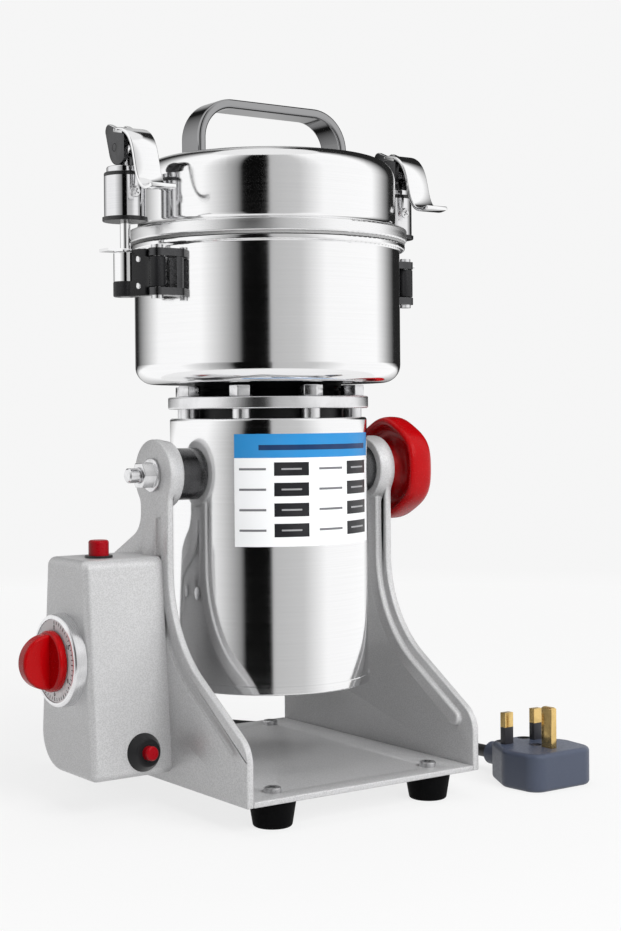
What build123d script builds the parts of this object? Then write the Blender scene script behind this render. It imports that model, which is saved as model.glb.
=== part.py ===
"""Swing-type electric powder grinder: a tilting motor and pot in a two-armed stand."""

import math
import os

from build123d import *

os.makedirs("parts", exist_ok=True)

# Fits and running clearances
FIT = 0.05
RUN = 0.3
BORE = 0.1

# Stand: origin on the floor under the motor axis, -Y is the front, +X the lock knob
STAND_WIDTH = 151.0
STAND_DEPTH = 178.0
PLATE = 3.0
WEB = 4.0
FOOT_HEIGHT = 14.0
FOOT_TOP_R = 12.3
FOOT_BOTTOM_R = 10.0
FOOT_EDGE_R = 1.5
FOOT_IN_X = 24.5
FOOT_IN_Y = 14.0
FOOT_SCREW_R = 2.5
FOOT_SCREW_HEAD_R = 4.5
FOOT_SCREW_HEAD = 2.6
FOOT_SCREW_DEPTH = 9.0

# Uprights: a rounded pivot boss on a stem that flares down to the base
PIVOT_Z = 176.0
BOSS_R = 19.0
BOSS_DEPTH = 5.5
BOSS_DRAFT = 12.0
BOSS_BLEND_R = 8.0
STEM_FRONT = 15.0
STEM_REAR = 13.0
FLARE_Z = 91.5
FLARE_ANGLE = 33.0
FLARE_R = 64.0
KNEE_R = 16.0
SHOULDER_Z = 147.0
SHOULDER_Y = 44.0
SHOULDER_DROP = 15.5
SHOULDER_R = 14.0
SHOULDER_CORNER_R = 12.0
REAR_KNEE_Z = 62.0
REAR_KNEE_R = 20.0
RIDGE_INSET = 9.5
RIDGE_WIDTH = 9.0
RIDGE_DEPTH = 3.0
RIDGE_END = 14.0
RIDGE_ROUND = 1.6
GROOVE_WIDTH = 4.5
GROOVE_DEPTH = 1.0
REAR_RIDGE_TURN_Z = 134.0
REAR_RIDGE_RISE = 14.0
REAR_RIDGE_Y = 38.0
REAR_RIDGE_END_Z = 62.0

# Control box on the outer face of the left upright
BOX_WIDTH = 46.5
BOX_BOTTOM = 19.5
BOX_TOP = 133.0
BOX_FRONT_LOW = -18.0
BOX_FRONT_HIGH = -9.0
BOX_REAR_LOW = 44.0
BOX_REAR_HIGH = 34.0
BOX_CORNER_R = 5.0
BOX_HEEL_R = 20.0
BOX_EDGE_R = 4.0
BOX_WALL = 2.5
BACK_PLATE = 2.0
BOX_SCREW_R = 2.0
BOX_SCREW_HEAD_R = 3.6
BOX_SCREW_HEAD = 2.2
BOX_SCREW_GRIP = 9.0
BOX_POST_R = 4.0
BOX_SCREW_DROP = 23.0
BOX_SCREW_RISE = 32.0
BOX_SCREW_HIGH_IN = 11.0
BOX_SCREW_LOW_IN = 16.0

# Timer on the left face of the box
DIAL_Y = 12.5
DIAL_Z = 80.0
BEZEL_R = 24.3
BEZEL_RIM = 2.4
BEZEL_HEIGHT = 7.0
BEZEL_ROUND = 1.5
DIAL_SEAT = 5.2
DIAL_THICK = 1.2
SPINDLE_R = 3.0
SPINDLE_HOLE_R = 4.0
SPINDLE_SOCKET = 8.0
KNOB_DISC_R = 16.0
KNOB_DISC = 4.0
KNOB_FIN_THICK = 8.0
KNOB_FIN_R = 14.4
KNOB_ROUND = 1.5
TIMER_SIZE = 40.0
TIMER_DEPTH = 26.0

# Overload breaker low on the front of the box
BREAKER_X = -92.0
BREAKER_Z = 32.5
BREAKER_R = 10.0
BREAKER_TIP_R = 7.0
BREAKER_HEIGHT = 5.0
BREAKER_NECK_R = 6.0
BREAKER_BODY_R = 8.0
BREAKER_BODY = 18.0
RESET_R = 3.75
RESET_OUT = 4.5
RESET_TRAVEL = 2.5
RESET_STEM = 5.0

# Start switch on top of the box
START_X = -104.0
START_Y = 8.0
START_COLLAR_R = 7.4
START_COLLAR = 1.2
START_NECK_R = 6.6
START_BODY = 14.0
START_R = 5.4
START_OUT = 9.3
START_GUIDE = 4.0
START_TRAVEL = 3.0

# Left pivot fasteners
BOLT_R = 4.0
BOLT_END = 15.5
BOLT_REACH = 9.0
WASHER_R = 9.0
WASHER = 1.5
NUT_R = 7.5
NUT = 7.0

# Lock knob on the right pivot
STUD_R = 5.0
STUD_IN_KNOB = 14.0
KNOB_R = 30.0
KNOB_HUB_R = 11.0
KNOB_HUB = 4.5
KNOB_DEPTH = 18.0
KNOB_LOBES = 6
SCALLOP_R = 14.0
SCALLOP_DEPTH = 4.0
LOBE_R = 5.0
KNOB_RIM = 4.0
KNOB_HOLLOW = 9.0
KNOB_EDGE_R = 3.0

# Motor housing
MOTOR_R = 55.0
MOTOR_BOTTOM = 59.5
MOTOR_TOP = 206.0
CAN_WALL = 1.5
CAN_LIP_R = 40.0
CAN_LIP = 2.0
CAN_RIM = 0.7
CAN_RIM_HEIGHT = 4.5
CAP_DISC = 3.0
CAP_RECESS = 1.5
CAP_VENTS = 12
VENT_LENGTH = 20.0
VENT_WIDTH = 5.0
VENT_MID_R = 36.0
PAD_R = 14.0
PAD_GAP = 0.3

# Neck between motor and pot
NECK_GAP = 5.0
RING_R = 55.9
RING = 6.7
RING_EDGE_R = 1.0
GASKET_R = 41.0
GASKET = 7.3
GASKET_GROOVE = 1.5
NECK_BOLTS = 8
NECK_BOLT_TURN = 38.5
NECK_BOLT_CIRCLE = 48.5
NECK_BOLT_R = 3.0
NECK_HEAD_R = 6.6
NECK_HEAD = 6.0
NECK_PAD_R = 5.0

# Motor inside
SHAFT_R = 6.0
BEARING_R = 15.0
BEARING = 10.0
BEARING_CUP = 3.0
STATOR_IN_R = 34.0
STATOR_BOTTOM = 105.0
STATOR = 60.0
AIR_GAP = 0.5
COIL_IN_R = 36.0
COIL_OUT_R = 50.0
COIL = 8.5
ARMATURE_SLOTS = 12
SLOT_WIDTH = 4.0
SLOT_DEPTH = 10.0
WINDING_R = 26.0
WINDING = 7.0
COMMUTATOR_R = 14.0
COMMUTATOR = 14.0
BRUSH_SIZE = 10.0
FAN_R = 44.0
FAN_HUB_R = 10.0
FAN_DISC = 1.6
FAN_HEIGHT = 11.0
FAN_VANES = 10
VANE = 1.6

# Pot
POT_R = 74.0
POT_WALL = 1.6
POT_CORNER_R = 10.0
POT_RIM_OUT = 3.0
POT_RIM = 3.0
POT_HEIGHT = 76.0
SEAL_R = 12.0
SEAL = 5.0

# Blades in the pot
HUB_R = 5.0
BLADE_TIP_GAP = 10.4
BLADE_WIDTH = 18.0
BLADE = 3.0
BLADE_TIP = 12.0
BLADE_TIP_RISE = 9.0
BLADE_TURN = 90.0
SPACER_R = 10.0
SPACER = 11.0
BLADE_NUT_R = 9.0
BLADE_NUT = 8.0
THREAD_R = 4.0
BLADE_FLOOR_GAP = 3.5

# Lid
LID_STEP = 2.0
LID_WALL = 1.8
LID_HEIGHT = 45.5
LID_SHOULDER_R = 12.0
LID_LEDGE_R = 3.0
LID_FOOT = 0.5
BAND_OVER = 1.1
BAND = 6.9
SPIGOT = 7.0
SPIGOT_GAP = 0.5
LID_GASKET = 1.4
LID_GASKET_GAP = 0.1
HANDLE_IN = 22.0
HANDLE_RISE = 32.0
HANDLE_WIDTH = 19.0
HANDLE_THICK = 5.0
HANDLE_CORNER_R = 20.0
HANDLE_EDGE_R = 2.0

# Swing clamps at both sides of the pot
CUP_GAP = 0.5
ROD_R = 2.75
PIN_STAND = 9.0
PIN_FORWARD = 20.0
PIN_R = 2.2
PIN_HEAD_R = 3.2
PIN_HEAD = 1.8
PIN_RUN = 0.06
EAR_R = 4.6
EAR = 4.0
EAR_REACH = 12.0
EAR_WEB = 7.0
CLAMP_DROP = 30.5
CLAMP_HEIGHT = 24.5
LINK_R = 4.4
LINK_WEB = 7.0
SHELF_R = 6.6
SHELF = 8.0
BARREL_R = 6.4
BARREL = 15.5
TAB = 1.6
TAB_WIDTH = 10.0
TAB_REACH = 13.0
CUP_R = 11.0
CUP_FLANGE_R = 12.0
CUP_FLANGE = 2.2
CUP_LIFT = 0.8
CUP_HEIGHT = 28.8
CUP_COLLAR = 3.0
CUP_NECK_R = 9.6
LEVER_RISE = 10.0
EYE_R = 5.0
EYE = 7.0
CHEEK = 2.5
CAM_R = 9.2
CAM_OFFSET_Y = -3.4
CAM_OFFSET_Z = -0.5
HORN_Y = 6.0
HORN_Z = 9.5
HORN_R = 3.5
LEVER_WIDTH = 15.0
LEVER_SHEET = 2.2
LEVER_REACH = 40.0
LEVER_DROP = 25.0
LEVER_PIN_R = 2.0

# Cord, strain relief and plug
CORD_R = 3.5
GLAND_Z = 48.0
GLAND_X = -87.0
GLAND_FLANGE_R = 8.5
GLAND_FLANGE = 3.0
GLAND_R = 7.0
GLAND_TIP_R = 4.6
GLAND_LENGTH = 30.0
GLAND_RIBS = 5
GLAND_RIB_GAP = 1.6
GLAND_RIB_DEPTH = 1.2
COIL_X = 10.0
COIL_Y = 180.0
COIL_OUTER = 46.0
COIL_STEP = 7.7
COIL_TURNS = 4
PLUG_X = 124.0
PLUG_Y = -58.0
PLUG_LIFT = 10.5
PLUG_WIDTH = 50.0
PLUG_LENGTH = 48.0
PLUG_NOSE = 24.0
PLUG_THICK = 21.0
PLUG_CORNER_R = 9.0
PLUG_EDGE_R = 2.5
SLEEVE_R = 6.5
SLEEVE = 12.0
PIN_PITCH = 22.2
PIN_EDGE = 13.0
LIVE_WIDTH = 6.35
LIVE_LENGTH = 17.7
EARTH_WIDTH = 8.0
EARTH_LENGTH = 22.7
PIN_THICK = 4.0
PIN_SEAT = 5.0
PLUG_SCREW_R = 3.6
PLUG_SCREW_SEAT = 2.0

# Derived levels
OUT_X = STAND_WIDTH / 2
IN_X = OUT_X - WEB
PLATE_TOP = FOOT_HEIGHT + PLATE
FOOT_X = OUT_X - FOOT_IN_X
FOOT_Y = STAND_DEPTH / 2 - FOOT_IN_Y
BOX_LEFT = -OUT_X - BOX_WIDTH
RING_BOTTOM = MOTOR_TOP + NECK_GAP
RING_TOP = RING_BOTTOM + RING
POT_BOTTOM = RING_TOP + GASKET
POT_TOP = POT_BOTTOM + POT_HEIGHT
POT_FLOOR = POT_BOTTOM + POT_WALL
POT_RIM_R = POT_R + POT_RIM_OUT
LID_R = POT_R - LID_STEP
BAND_R = POT_RIM_R + BAND_OVER
HANDLE_SPAN = 2 * (LID_R - HANDLE_IN)
BLADE_LENGTH = 2 * (POT_R - POT_WALL - BLADE_TIP_GAP)
PIN_OUT = POT_R + PIN_STAND
ROD_OUT = BAND_R + CUP_GAP + CUP_FLANGE_R
CLAMP_BOTTOM = POT_TOP - CLAMP_DROP
BAND_BOTTOM = POT_TOP + LID_GASKET + LID_GASKET_GAP
LEDGE_Z = BAND_BOTTOM + BAND
LID_TOP = BAND_BOTTOM + LID_HEIGHT
CUP_BOTTOM = LEDGE_Z + CUP_LIFT
CUP_TOP = CUP_BOTTOM + CUP_HEIGHT
LEVER_Z = CUP_TOP + LEVER_RISE
BLADE_Z = POT_FLOOR + SEAL + BLADE_FLOOR_GAP
UPPER_BLADE_Z = BLADE_Z + BLADE + SPACER
NUT_Z = UPPER_BLADE_Z + BLADE
PIN_LOW = CLAMP_BOTTOM - PIN_HEAD
PIN_HIGH = CLAMP_BOTTOM + CLAMP_HEIGHT + PIN_HEAD
BOTTOM = (Align.CENTER, Align.CENTER, Align.MIN)
TOP = (Align.CENTER, Align.CENTER, Align.MAX)


def save(piece, name):
    """Label a finished piece and write its STEP file."""
    piece.part.label = name
    export_step(piece.part, f"parts/{name}.step")


def box_wall(low_y, high_y, x, z, outward):
    """Plane on the leaning front or rear wall of the control box."""
    height = BOX_TOP - BOX_BOTTOM
    lean = Vector(0, high_y - low_y, height).normalized()
    y = low_y + (high_y - low_y) * (z - BOX_BOTTOM) / height
    normal = (0, outward * lean.Z, -outward * lean.Y)
    return Plane(origin=(x, y, z), x_dir=(1, 0, 0), z_dir=normal)


DIAL_PLANE = Plane(origin=(BOX_LEFT, DIAL_Y, DIAL_Z), x_dir=(0, -1, 0), z_dir=(-1, 0, 0))
BREAKER_PLANE = box_wall(BOX_FRONT_LOW, BOX_FRONT_HIGH, BREAKER_X, BREAKER_Z, -1)
GLAND_PLANE = box_wall(BOX_REAR_LOW, BOX_REAR_HIGH, GLAND_X, GLAND_Z, 1)
START_PLANE = Plane(origin=(START_X, START_Y, BOX_TOP))
LEFT_PIVOT = Plane(origin=(-OUT_X, 0, PIVOT_Z), x_dir=(0, -1, 0), z_dir=(-1, 0, 0))
RIGHT_PIVOT = Plane(origin=(OUT_X + RUN, 0, PIVOT_Z), x_dir=(0, 1, 0), z_dir=(1, 0, 0))


# Base plate, feet and foot screws

with BuildPart() as base_plate:
    with Locations((0, 0, FOOT_HEIGHT)):
        Box(2 * IN_X, STAND_DEPTH, PLATE, align=BOTTOM)
    with Locations(Plane.XY.offset(PLATE_TOP)):
        with GridLocations(2 * FOOT_X, 2 * FOOT_Y, 2, 2):
            Hole(FOOT_SCREW_R + BORE)
save(base_plate, "base_plate")

with BuildPart() as rubber_feet:
    with GridLocations(2 * FOOT_X, 2 * FOOT_Y, 2, 2):
        Cone(FOOT_BOTTOM_R, FOOT_TOP_R, FOOT_HEIGHT, align=BOTTOM)
    fillet(rubber_feet.edges().group_by(Axis.Z)[0], FOOT_EDGE_R)
    with Locations(Plane.XY.offset(FOOT_HEIGHT)):
        with GridLocations(2 * FOOT_X, 2 * FOOT_Y, 2, 2):
            Hole(FOOT_SCREW_R + FIT, depth=FOOT_SCREW_DEPTH + FIT)
save(rubber_feet, "rubber_feet")

with BuildPart() as foot_screws:
    with Locations(Plane.XY.offset(PLATE_TOP)):
        with GridLocations(2 * FOOT_X, 2 * FOOT_Y, 2, 2):
            Cylinder(FOOT_SCREW_HEAD_R, FOOT_SCREW_HEAD, align=BOTTOM)
            Cylinder(FOOT_SCREW_R, PLATE + FOOT_SCREW_DEPTH, align=TOP)
    fillet(foot_screws.edges().group_by(Axis.Z)[-1], FOOT_SCREW_HEAD / 3)
save(foot_screws, "foot_screws")


# Uprights


def box_screw_places():
    """Screw points in (y, z) that hold the control box to the left upright."""
    high = BOX_TOP - BOX_SCREW_DROP
    low = BOX_BOTTOM + BOX_SCREW_RISE
    return [
        (BOX_FRONT_HIGH + BOX_SCREW_HIGH_IN, high),
        (BOX_REAR_HIGH - BOX_SCREW_HIGH_IN, high),
        (BOX_FRONT_LOW + BOX_SCREW_LOW_IN, low),
        (BOX_REAR_LOW - BOX_SCREW_LOW_IN, low),
    ]


def upright_outline():
    """Flared outline of an upright in (y, z), open boss circle included."""
    half = STAND_DEPTH / 2
    knee_z = FLARE_Z - (half - STEM_FRONT) * math.tan(math.radians(FLARE_ANGLE))
    corner_radii = [0, KNEE_R, FLARE_R, 0, 0, SHOULDER_R, SHOULDER_CORNER_R, REAR_KNEE_R, 0]
    with BuildSketch() as outline:
        with BuildLine():
            FilletPolyline(
                (-half, FOOT_HEIGHT),
                (-half, knee_z),
                (-STEM_FRONT, FLARE_Z),
                (-STEM_FRONT, PIVOT_Z),
                (STEM_REAR, PIVOT_Z),
                (STEM_REAR, SHOULDER_Z),
                (SHOULDER_Y, SHOULDER_Z - SHOULDER_DROP),
                (half, REAR_KNEE_Z),
                (half, FOOT_HEIGHT),
                radius=corner_radii,
                close=True,
            )
        make_face()
        with Locations((0, PIVOT_Z)):
            Circle(BOSS_R)
        pivot = Vector(0, PIVOT_Z)
        corners = outline.vertices().filter_by(
            lambda v: abs((Vector(v.X, v.Y) - pivot).length - BOSS_R) < FIT
        )
        fillet(corners, BOSS_BLEND_R)
    return outline.sketch


def front_ridge(width):
    """Pressed ridge that follows the flared front edge from the boss to the knee."""
    rise = math.tan(math.radians(FLARE_ANGLE))
    inset = RIDGE_INSET / math.cos(math.radians(FLARE_ANGLE))
    stem_y = RIDGE_INSET - STEM_FRONT
    turn_z = FLARE_Z + RIDGE_INSET * rise - inset
    end_y = RIDGE_END - STAND_DEPTH / 2
    end_z = turn_z - (stem_y - end_y) * rise
    with BuildSketch() as ridge:
        with BuildLine():
            FilletPolyline(
                (stem_y, PIVOT_Z), (stem_y, turn_z), (end_y, end_z), radius=[FLARE_R + RIDGE_INSET]
            )
        trace(line_width=width)
        with Locations((end_y, end_z)):
            Circle(width / 2)
    return ridge.sketch


def rear_ridge(width):
    """Pressed ridge under the rear shoulder, down to the rear knee."""
    stem_y = STEM_REAR - RIDGE_INSET
    end_y = STAND_DEPTH / 2 - RIDGE_END
    with BuildSketch() as ridge:
        with BuildLine():
            FilletPolyline(
                (stem_y, PIVOT_Z),
                (stem_y, REAR_RIDGE_TURN_Z),
                (REAR_RIDGE_Y, REAR_RIDGE_TURN_Z - REAR_RIDGE_RISE),
                (end_y, REAR_RIDGE_END_Z),
                radius=[SHOULDER_R + RIDGE_INSET, SHOULDER_CORNER_R],
            )
        trace(line_width=width)
        with Locations((end_y, REAR_RIDGE_END_Z)):
            Circle(width / 2)
    return ridge.sketch


def make_upright(side, bore, name):
    """One upright: web, boss, ridges on its inner face, grooves on its outer face."""
    inner = side * IN_X
    outer = side * OUT_X
    ridge_top = inner - side * RIDGE_DEPTH
    with BuildPart() as upright:
        with BuildSketch(Plane.YZ.offset(inner)):
            add(upright_outline())
        extrude(amount=side * WEB)
        with BuildSketch(Plane.YZ.offset(inner)):
            add(front_ridge(RIDGE_WIDTH))
            add(rear_ridge(RIDGE_WIDTH))
        extrude(amount=-side * RIDGE_DEPTH)
        ridge_edges = upright.edges().filter_by_position(
            Axis.X, ridge_top - FIT, ridge_top + FIT
        )
        fillet(ridge_edges, RIDGE_ROUND)
        with BuildSketch(Plane.YZ.offset(inner)):
            with Locations((0, PIVOT_Z)):
                Circle(BOSS_R)
        extrude(amount=-side * BOSS_DEPTH, taper=BOSS_DRAFT)
        with BuildSketch(Plane.YZ.offset(outer)):
            add(front_ridge(GROOVE_WIDTH))
            with Locations((0, PIVOT_Z)):
                Circle(BOSS_R + GROOVE_WIDTH, mode=Mode.SUBTRACT)
        extrude(amount=-side * GROOVE_DEPTH, mode=Mode.SUBTRACT)
        with BuildSketch(Plane.YZ.offset(outer)):
            with Locations((0, PIVOT_Z)):
                Circle(bore)
        extrude(amount=-side * (WEB + BOSS_DEPTH), mode=Mode.SUBTRACT)
        if side < 0:
            with BuildSketch(Plane.YZ.offset(outer)):
                with Locations(*box_screw_places()):
                    Circle(BOX_SCREW_R + BORE)
            extrude(amount=WEB + RIDGE_DEPTH, mode=Mode.SUBTRACT)
    save(upright, name)


make_upright(-1, BOLT_R + BORE, "left_upright")
make_upright(1, STUD_R + BORE, "right_upright")


# Control box


def box_outline():
    """Side profile of the control box in (y, z), deeper at the foot than at the top."""
    with BuildSketch() as outline:
        with BuildLine():
            FilletPolyline(
                (BOX_FRONT_LOW, BOX_BOTTOM),
                (BOX_REAR_LOW, BOX_BOTTOM),
                (BOX_REAR_HIGH, BOX_TOP),
                (BOX_FRONT_HIGH, BOX_TOP),
                radius=[BOX_CORNER_R, BOX_HEEL_R, BOX_CORNER_R, BOX_CORNER_R],
                close=True,
            )
        make_face()
    return outline.sketch


with BuildPart() as control_box:
    with BuildSketch(Plane.YZ.offset(BOX_LEFT)):
        add(box_outline())
    extrude(amount=BOX_WIDTH - BACK_PLATE)
    fillet(control_box.faces().sort_by(Axis.X)[0].edges(), BOX_EDGE_R)
    with BuildSketch(Plane.YZ.offset(BOX_LEFT + BOX_WALL)):
        offset(box_outline(), amount=-BOX_WALL)
    extrude(amount=BOX_WIDTH, mode=Mode.SUBTRACT)
    with BuildSketch(Plane.YZ.offset(BOX_LEFT + BOX_WALL)):
        with Locations(*box_screw_places()):
            Circle(BOX_POST_R)
    extrude(amount=BOX_WIDTH - BOX_WALL - BACK_PLATE)
    with BuildSketch(Plane.YZ.offset(-OUT_X)):
        with Locations(*box_screw_places()):
            Circle(BOX_SCREW_R + FIT)
    extrude(amount=-(BACK_PLATE + BOX_SCREW_GRIP + FIT), mode=Mode.SUBTRACT)
    with Locations(DIAL_PLANE):
        Cylinder(SPINDLE_HOLE_R, 4 * BOX_WALL, mode=Mode.SUBTRACT)
    with Locations(BREAKER_PLANE):
        Cylinder(BREAKER_NECK_R + BORE, 4 * BOX_WALL, mode=Mode.SUBTRACT)
    with Locations(START_PLANE):
        Cylinder(START_NECK_R + BORE, 4 * BOX_WALL, mode=Mode.SUBTRACT)
    with Locations(GLAND_PLANE):
        Cylinder(GLAND_TIP_R + BORE, 4 * BOX_WALL, mode=Mode.SUBTRACT)
save(control_box, "control_box")

with BuildPart() as box_back_plate:
    with BuildSketch(Plane.YZ.offset(-OUT_X)):
        add(box_outline())
        with Locations(*box_screw_places()):
            Circle(BOX_SCREW_R + BORE, mode=Mode.SUBTRACT)
    extrude(amount=-BACK_PLATE)
save(box_back_plate, "box_back_plate")

with BuildPart() as box_screws:
    with BuildSketch(Plane.YZ.offset(-IN_X)):
        with Locations(*box_screw_places()):
            Circle(BOX_SCREW_HEAD_R)
    extrude(amount=BOX_SCREW_HEAD)
    with BuildSketch(Plane.YZ.offset(-IN_X)):
        with Locations(*box_screw_places()):
            Circle(BOX_SCREW_R)
    extrude(amount=-(WEB + BACK_PLATE + BOX_SCREW_GRIP))
save(box_screws, "box_screws")


# Timer

with BuildPart(DIAL_PLANE) as timer_bezel:
    Cylinder(BEZEL_R, BEZEL_HEIGHT, align=BOTTOM)
    fillet(timer_bezel.faces().sort_by(Axis.X)[0].edges(), BEZEL_ROUND)
    with Locations((0, 0, DIAL_SEAT)):
        Cylinder(BEZEL_R - BEZEL_RIM, BEZEL_HEIGHT, align=BOTTOM, mode=Mode.SUBTRACT)
    Cylinder(SPINDLE_HOLE_R, BEZEL_HEIGHT, align=BOTTOM, mode=Mode.SUBTRACT)
save(timer_bezel, "timer_bezel")

with BuildPart(DIAL_PLANE) as timer_dial:
    with Locations((0, 0, DIAL_SEAT)):
        Cylinder(BEZEL_R - BEZEL_RIM - BORE, DIAL_THICK, align=BOTTOM)
        Cylinder(SPINDLE_HOLE_R, DIAL_THICK, align=BOTTOM, mode=Mode.SUBTRACT)
save(timer_dial, "timer_dial")

with BuildPart(DIAL_PLANE) as timer_mechanism:
    with Locations((0, 0, -BOX_WALL)):
        Box(TIMER_SIZE, TIMER_SIZE, TIMER_DEPTH, align=TOP)
        Cylinder(SPINDLE_R + FIT, SPINDLE_SOCKET, align=TOP, mode=Mode.SUBTRACT)
save(timer_mechanism, "timer_mechanism")

KNOB_SEAT = BEZEL_HEIGHT + RUN
KNOB_FACE = KNOB_SEAT + KNOB_DISC
FIN_PLANE = Plane(
    origin=(BOX_LEFT - KNOB_FACE, DIAL_Y, DIAL_Z), x_dir=(-1, 0, 0), z_dir=(0, 1, 0)
)
SPINDLE_FOOT = BOX_WALL + SPINDLE_SOCKET - RUN

with BuildPart(DIAL_PLANE) as knob_fin:
    with BuildSketch(FIN_PLANE):
        Circle(KNOB_FIN_R)
    extrude(amount=KNOB_FIN_THICK / 2, both=True)
    fillet(knob_fin.edges().filter_by(GeomType.CIRCLE), KNOB_ROUND)
    with Locations((0, 0, KNOB_SEAT + KNOB_DISC / 2)):
        Box(3 * KNOB_DISC_R, 3 * KNOB_DISC_R, 3 * KNOB_DISC_R, align=TOP, mode=Mode.SUBTRACT)

with BuildPart() as timer_knob:
    with Locations(DIAL_PLANE.offset(KNOB_SEAT)):
        Cylinder(KNOB_DISC_R, KNOB_DISC, align=BOTTOM)
    fillet(timer_knob.faces().sort_by(Axis.X)[0].edges(), KNOB_ROUND)
    with Locations(DIAL_PLANE.offset(-SPINDLE_FOOT)):
        Cylinder(SPINDLE_R, SPINDLE_FOOT + KNOB_SEAT, align=BOTTOM)
    add(knob_fin.part)
save(timer_knob, "timer_knob")


# Overload breaker and reset button

RESET_FOOT = RESET_STEM + RESET_TRAVEL + RUN

with BuildPart(BREAKER_PLANE) as overload_breaker:
    Cone(BREAKER_R, BREAKER_TIP_R, BREAKER_HEIGHT, align=BOTTOM)
    fillet(overload_breaker.edges().sort_by(Axis.Y)[0], BREAKER_HEIGHT / 4)
    Cylinder(BREAKER_NECK_R, BOX_WALL, align=TOP)
    with Locations((0, 0, -BOX_WALL)):
        Cylinder(BREAKER_BODY_R, BREAKER_BODY, align=TOP)
    with Locations((0, 0, -RESET_FOOT)):
        Cylinder(RESET_R + BORE, RESET_FOOT + BREAKER_HEIGHT, align=BOTTOM, mode=Mode.SUBTRACT)
save(overload_breaker, "overload_breaker")

with BuildPart(BREAKER_PLANE) as reset_button:
    with Locations((0, 0, -RESET_STEM)):
        Cylinder(RESET_R, RESET_STEM + BREAKER_HEIGHT + RESET_OUT, align=BOTTOM)
    fillet(reset_button.faces().sort_by(Axis.Y)[0].edges(), RESET_R / 3)
save(reset_button, "reset_button")


# Start switch and start button

START_FOOT = START_GUIDE + START_TRAVEL + RUN

with BuildPart(START_PLANE) as start_switch:
    Cylinder(START_COLLAR_R, START_COLLAR, align=BOTTOM)
    Cylinder(START_NECK_R, BOX_WALL, align=TOP)
    with Locations((0, 0, -BOX_WALL)):
        Box(2 * START_COLLAR_R, 2 * START_COLLAR_R, START_BODY, align=TOP)
    with Locations((0, 0, -START_FOOT)):
        Cylinder(START_R + BORE, START_FOOT + START_COLLAR, align=BOTTOM, mode=Mode.SUBTRACT)
save(start_switch, "start_switch")

with BuildPart(START_PLANE) as start_button:
    with Locations((0, 0, -START_GUIDE)):
        Cylinder(START_R, START_GUIDE + START_OUT, align=BOTTOM)
    fillet(start_button.edges().group_by(Axis.Z)[-1], START_R / 4)
save(start_button, "start_button")


# Pivot fasteners on the left

with BuildPart(LEFT_PIVOT) as pivot_bolt:
    with Locations((0, 0, BOLT_END)):
        Cylinder(BOLT_R, BOLT_END + WEB + BOSS_DEPTH + BOLT_REACH, align=TOP)
    chamfer(pivot_bolt.faces().sort_by(Axis.X)[0].edges(), BOLT_R / 5)
save(pivot_bolt, "pivot_bolt")

with BuildPart(LEFT_PIVOT) as pivot_nut:
    Cylinder(WASHER_R, WASHER, align=BOTTOM)
    with BuildSketch(LEFT_PIVOT.offset(WASHER)):
        RegularPolygon(NUT_R, 6)
    extrude(amount=NUT)
    Cylinder(BOLT_R + FIT, WASHER + NUT, align=BOTTOM, mode=Mode.SUBTRACT)
save(pivot_nut, "pivot_nut")


# Lock knob and stud on the right

with BuildPart(RIGHT_PIVOT) as lock_knob:
    with BuildSketch(RIGHT_PIVOT.offset(KNOB_HUB)) as lobes:
        Circle(KNOB_R)
        with PolarLocations(KNOB_R + SCALLOP_R - SCALLOP_DEPTH, KNOB_LOBES):
            Circle(SCALLOP_R, mode=Mode.SUBTRACT)
        fillet(lobes.vertices(), LOBE_R)
    extrude(amount=KNOB_DEPTH)
    fillet(lock_knob.faces().sort_by(Axis.X)[-1].edges(), KNOB_EDGE_R)
    with BuildSketch(RIGHT_PIVOT.offset(KNOB_HUB)):
        Circle(KNOB_R - SCALLOP_DEPTH - KNOB_RIM)
    extrude(amount=KNOB_HOLLOW, mode=Mode.SUBTRACT)
    Cylinder(KNOB_HUB_R, KNOB_HUB + KNOB_HOLLOW, align=BOTTOM)
    Cylinder(STUD_R + FIT, STUD_IN_KNOB + FIT, align=BOTTOM, mode=Mode.SUBTRACT)
save(lock_knob, "lock_knob")

with BuildPart(RIGHT_PIVOT) as lock_stud:
    with Locations((0, 0, STUD_IN_KNOB)):
        Cylinder(STUD_R, STUD_IN_KNOB + RUN + WEB + BOSS_DEPTH + BOLT_REACH, align=TOP)
save(lock_stud, "lock_stud")


# Motor housing with its base cap and trunnion pads

with BuildPart() as motor_housing:
    with Locations((0, 0, MOTOR_BOTTOM)):
        Cylinder(MOTOR_R, MOTOR_TOP - MOTOR_BOTTOM, align=BOTTOM)
    fillet(motor_housing.edges().group_by(Axis.Z)[-1], CAN_WALL)
    with Locations((0, 0, MOTOR_BOTTOM)):
        Cylinder(MOTOR_R + CAN_RIM, CAN_RIM_HEIGHT, align=BOTTOM)
        Cylinder(
            MOTOR_R - CAN_WALL, MOTOR_TOP - MOTOR_BOTTOM - CAN_LIP, align=BOTTOM, mode=Mode.SUBTRACT
        )
    fillet(motor_housing.edges().filter_by_position(Axis.Z, MOTOR_BOTTOM, MOTOR_BOTTOM), CAN_RIM)
    with Locations((0, 0, MOTOR_TOP)):
        Hole(CAN_LIP_R, depth=2 * CAN_LIP)
        with PolarLocations(NECK_BOLT_CIRCLE, NECK_BOLTS, start_angle=NECK_BOLT_TURN):
            Hole(NECK_BOLT_R + BORE, depth=2 * CAN_LIP)
save(motor_housing, "motor_housing")

CAP_Z = MOTOR_BOTTOM + CAP_RECESS
CAP_R = MOTOR_R - CAN_WALL - BORE

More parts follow.
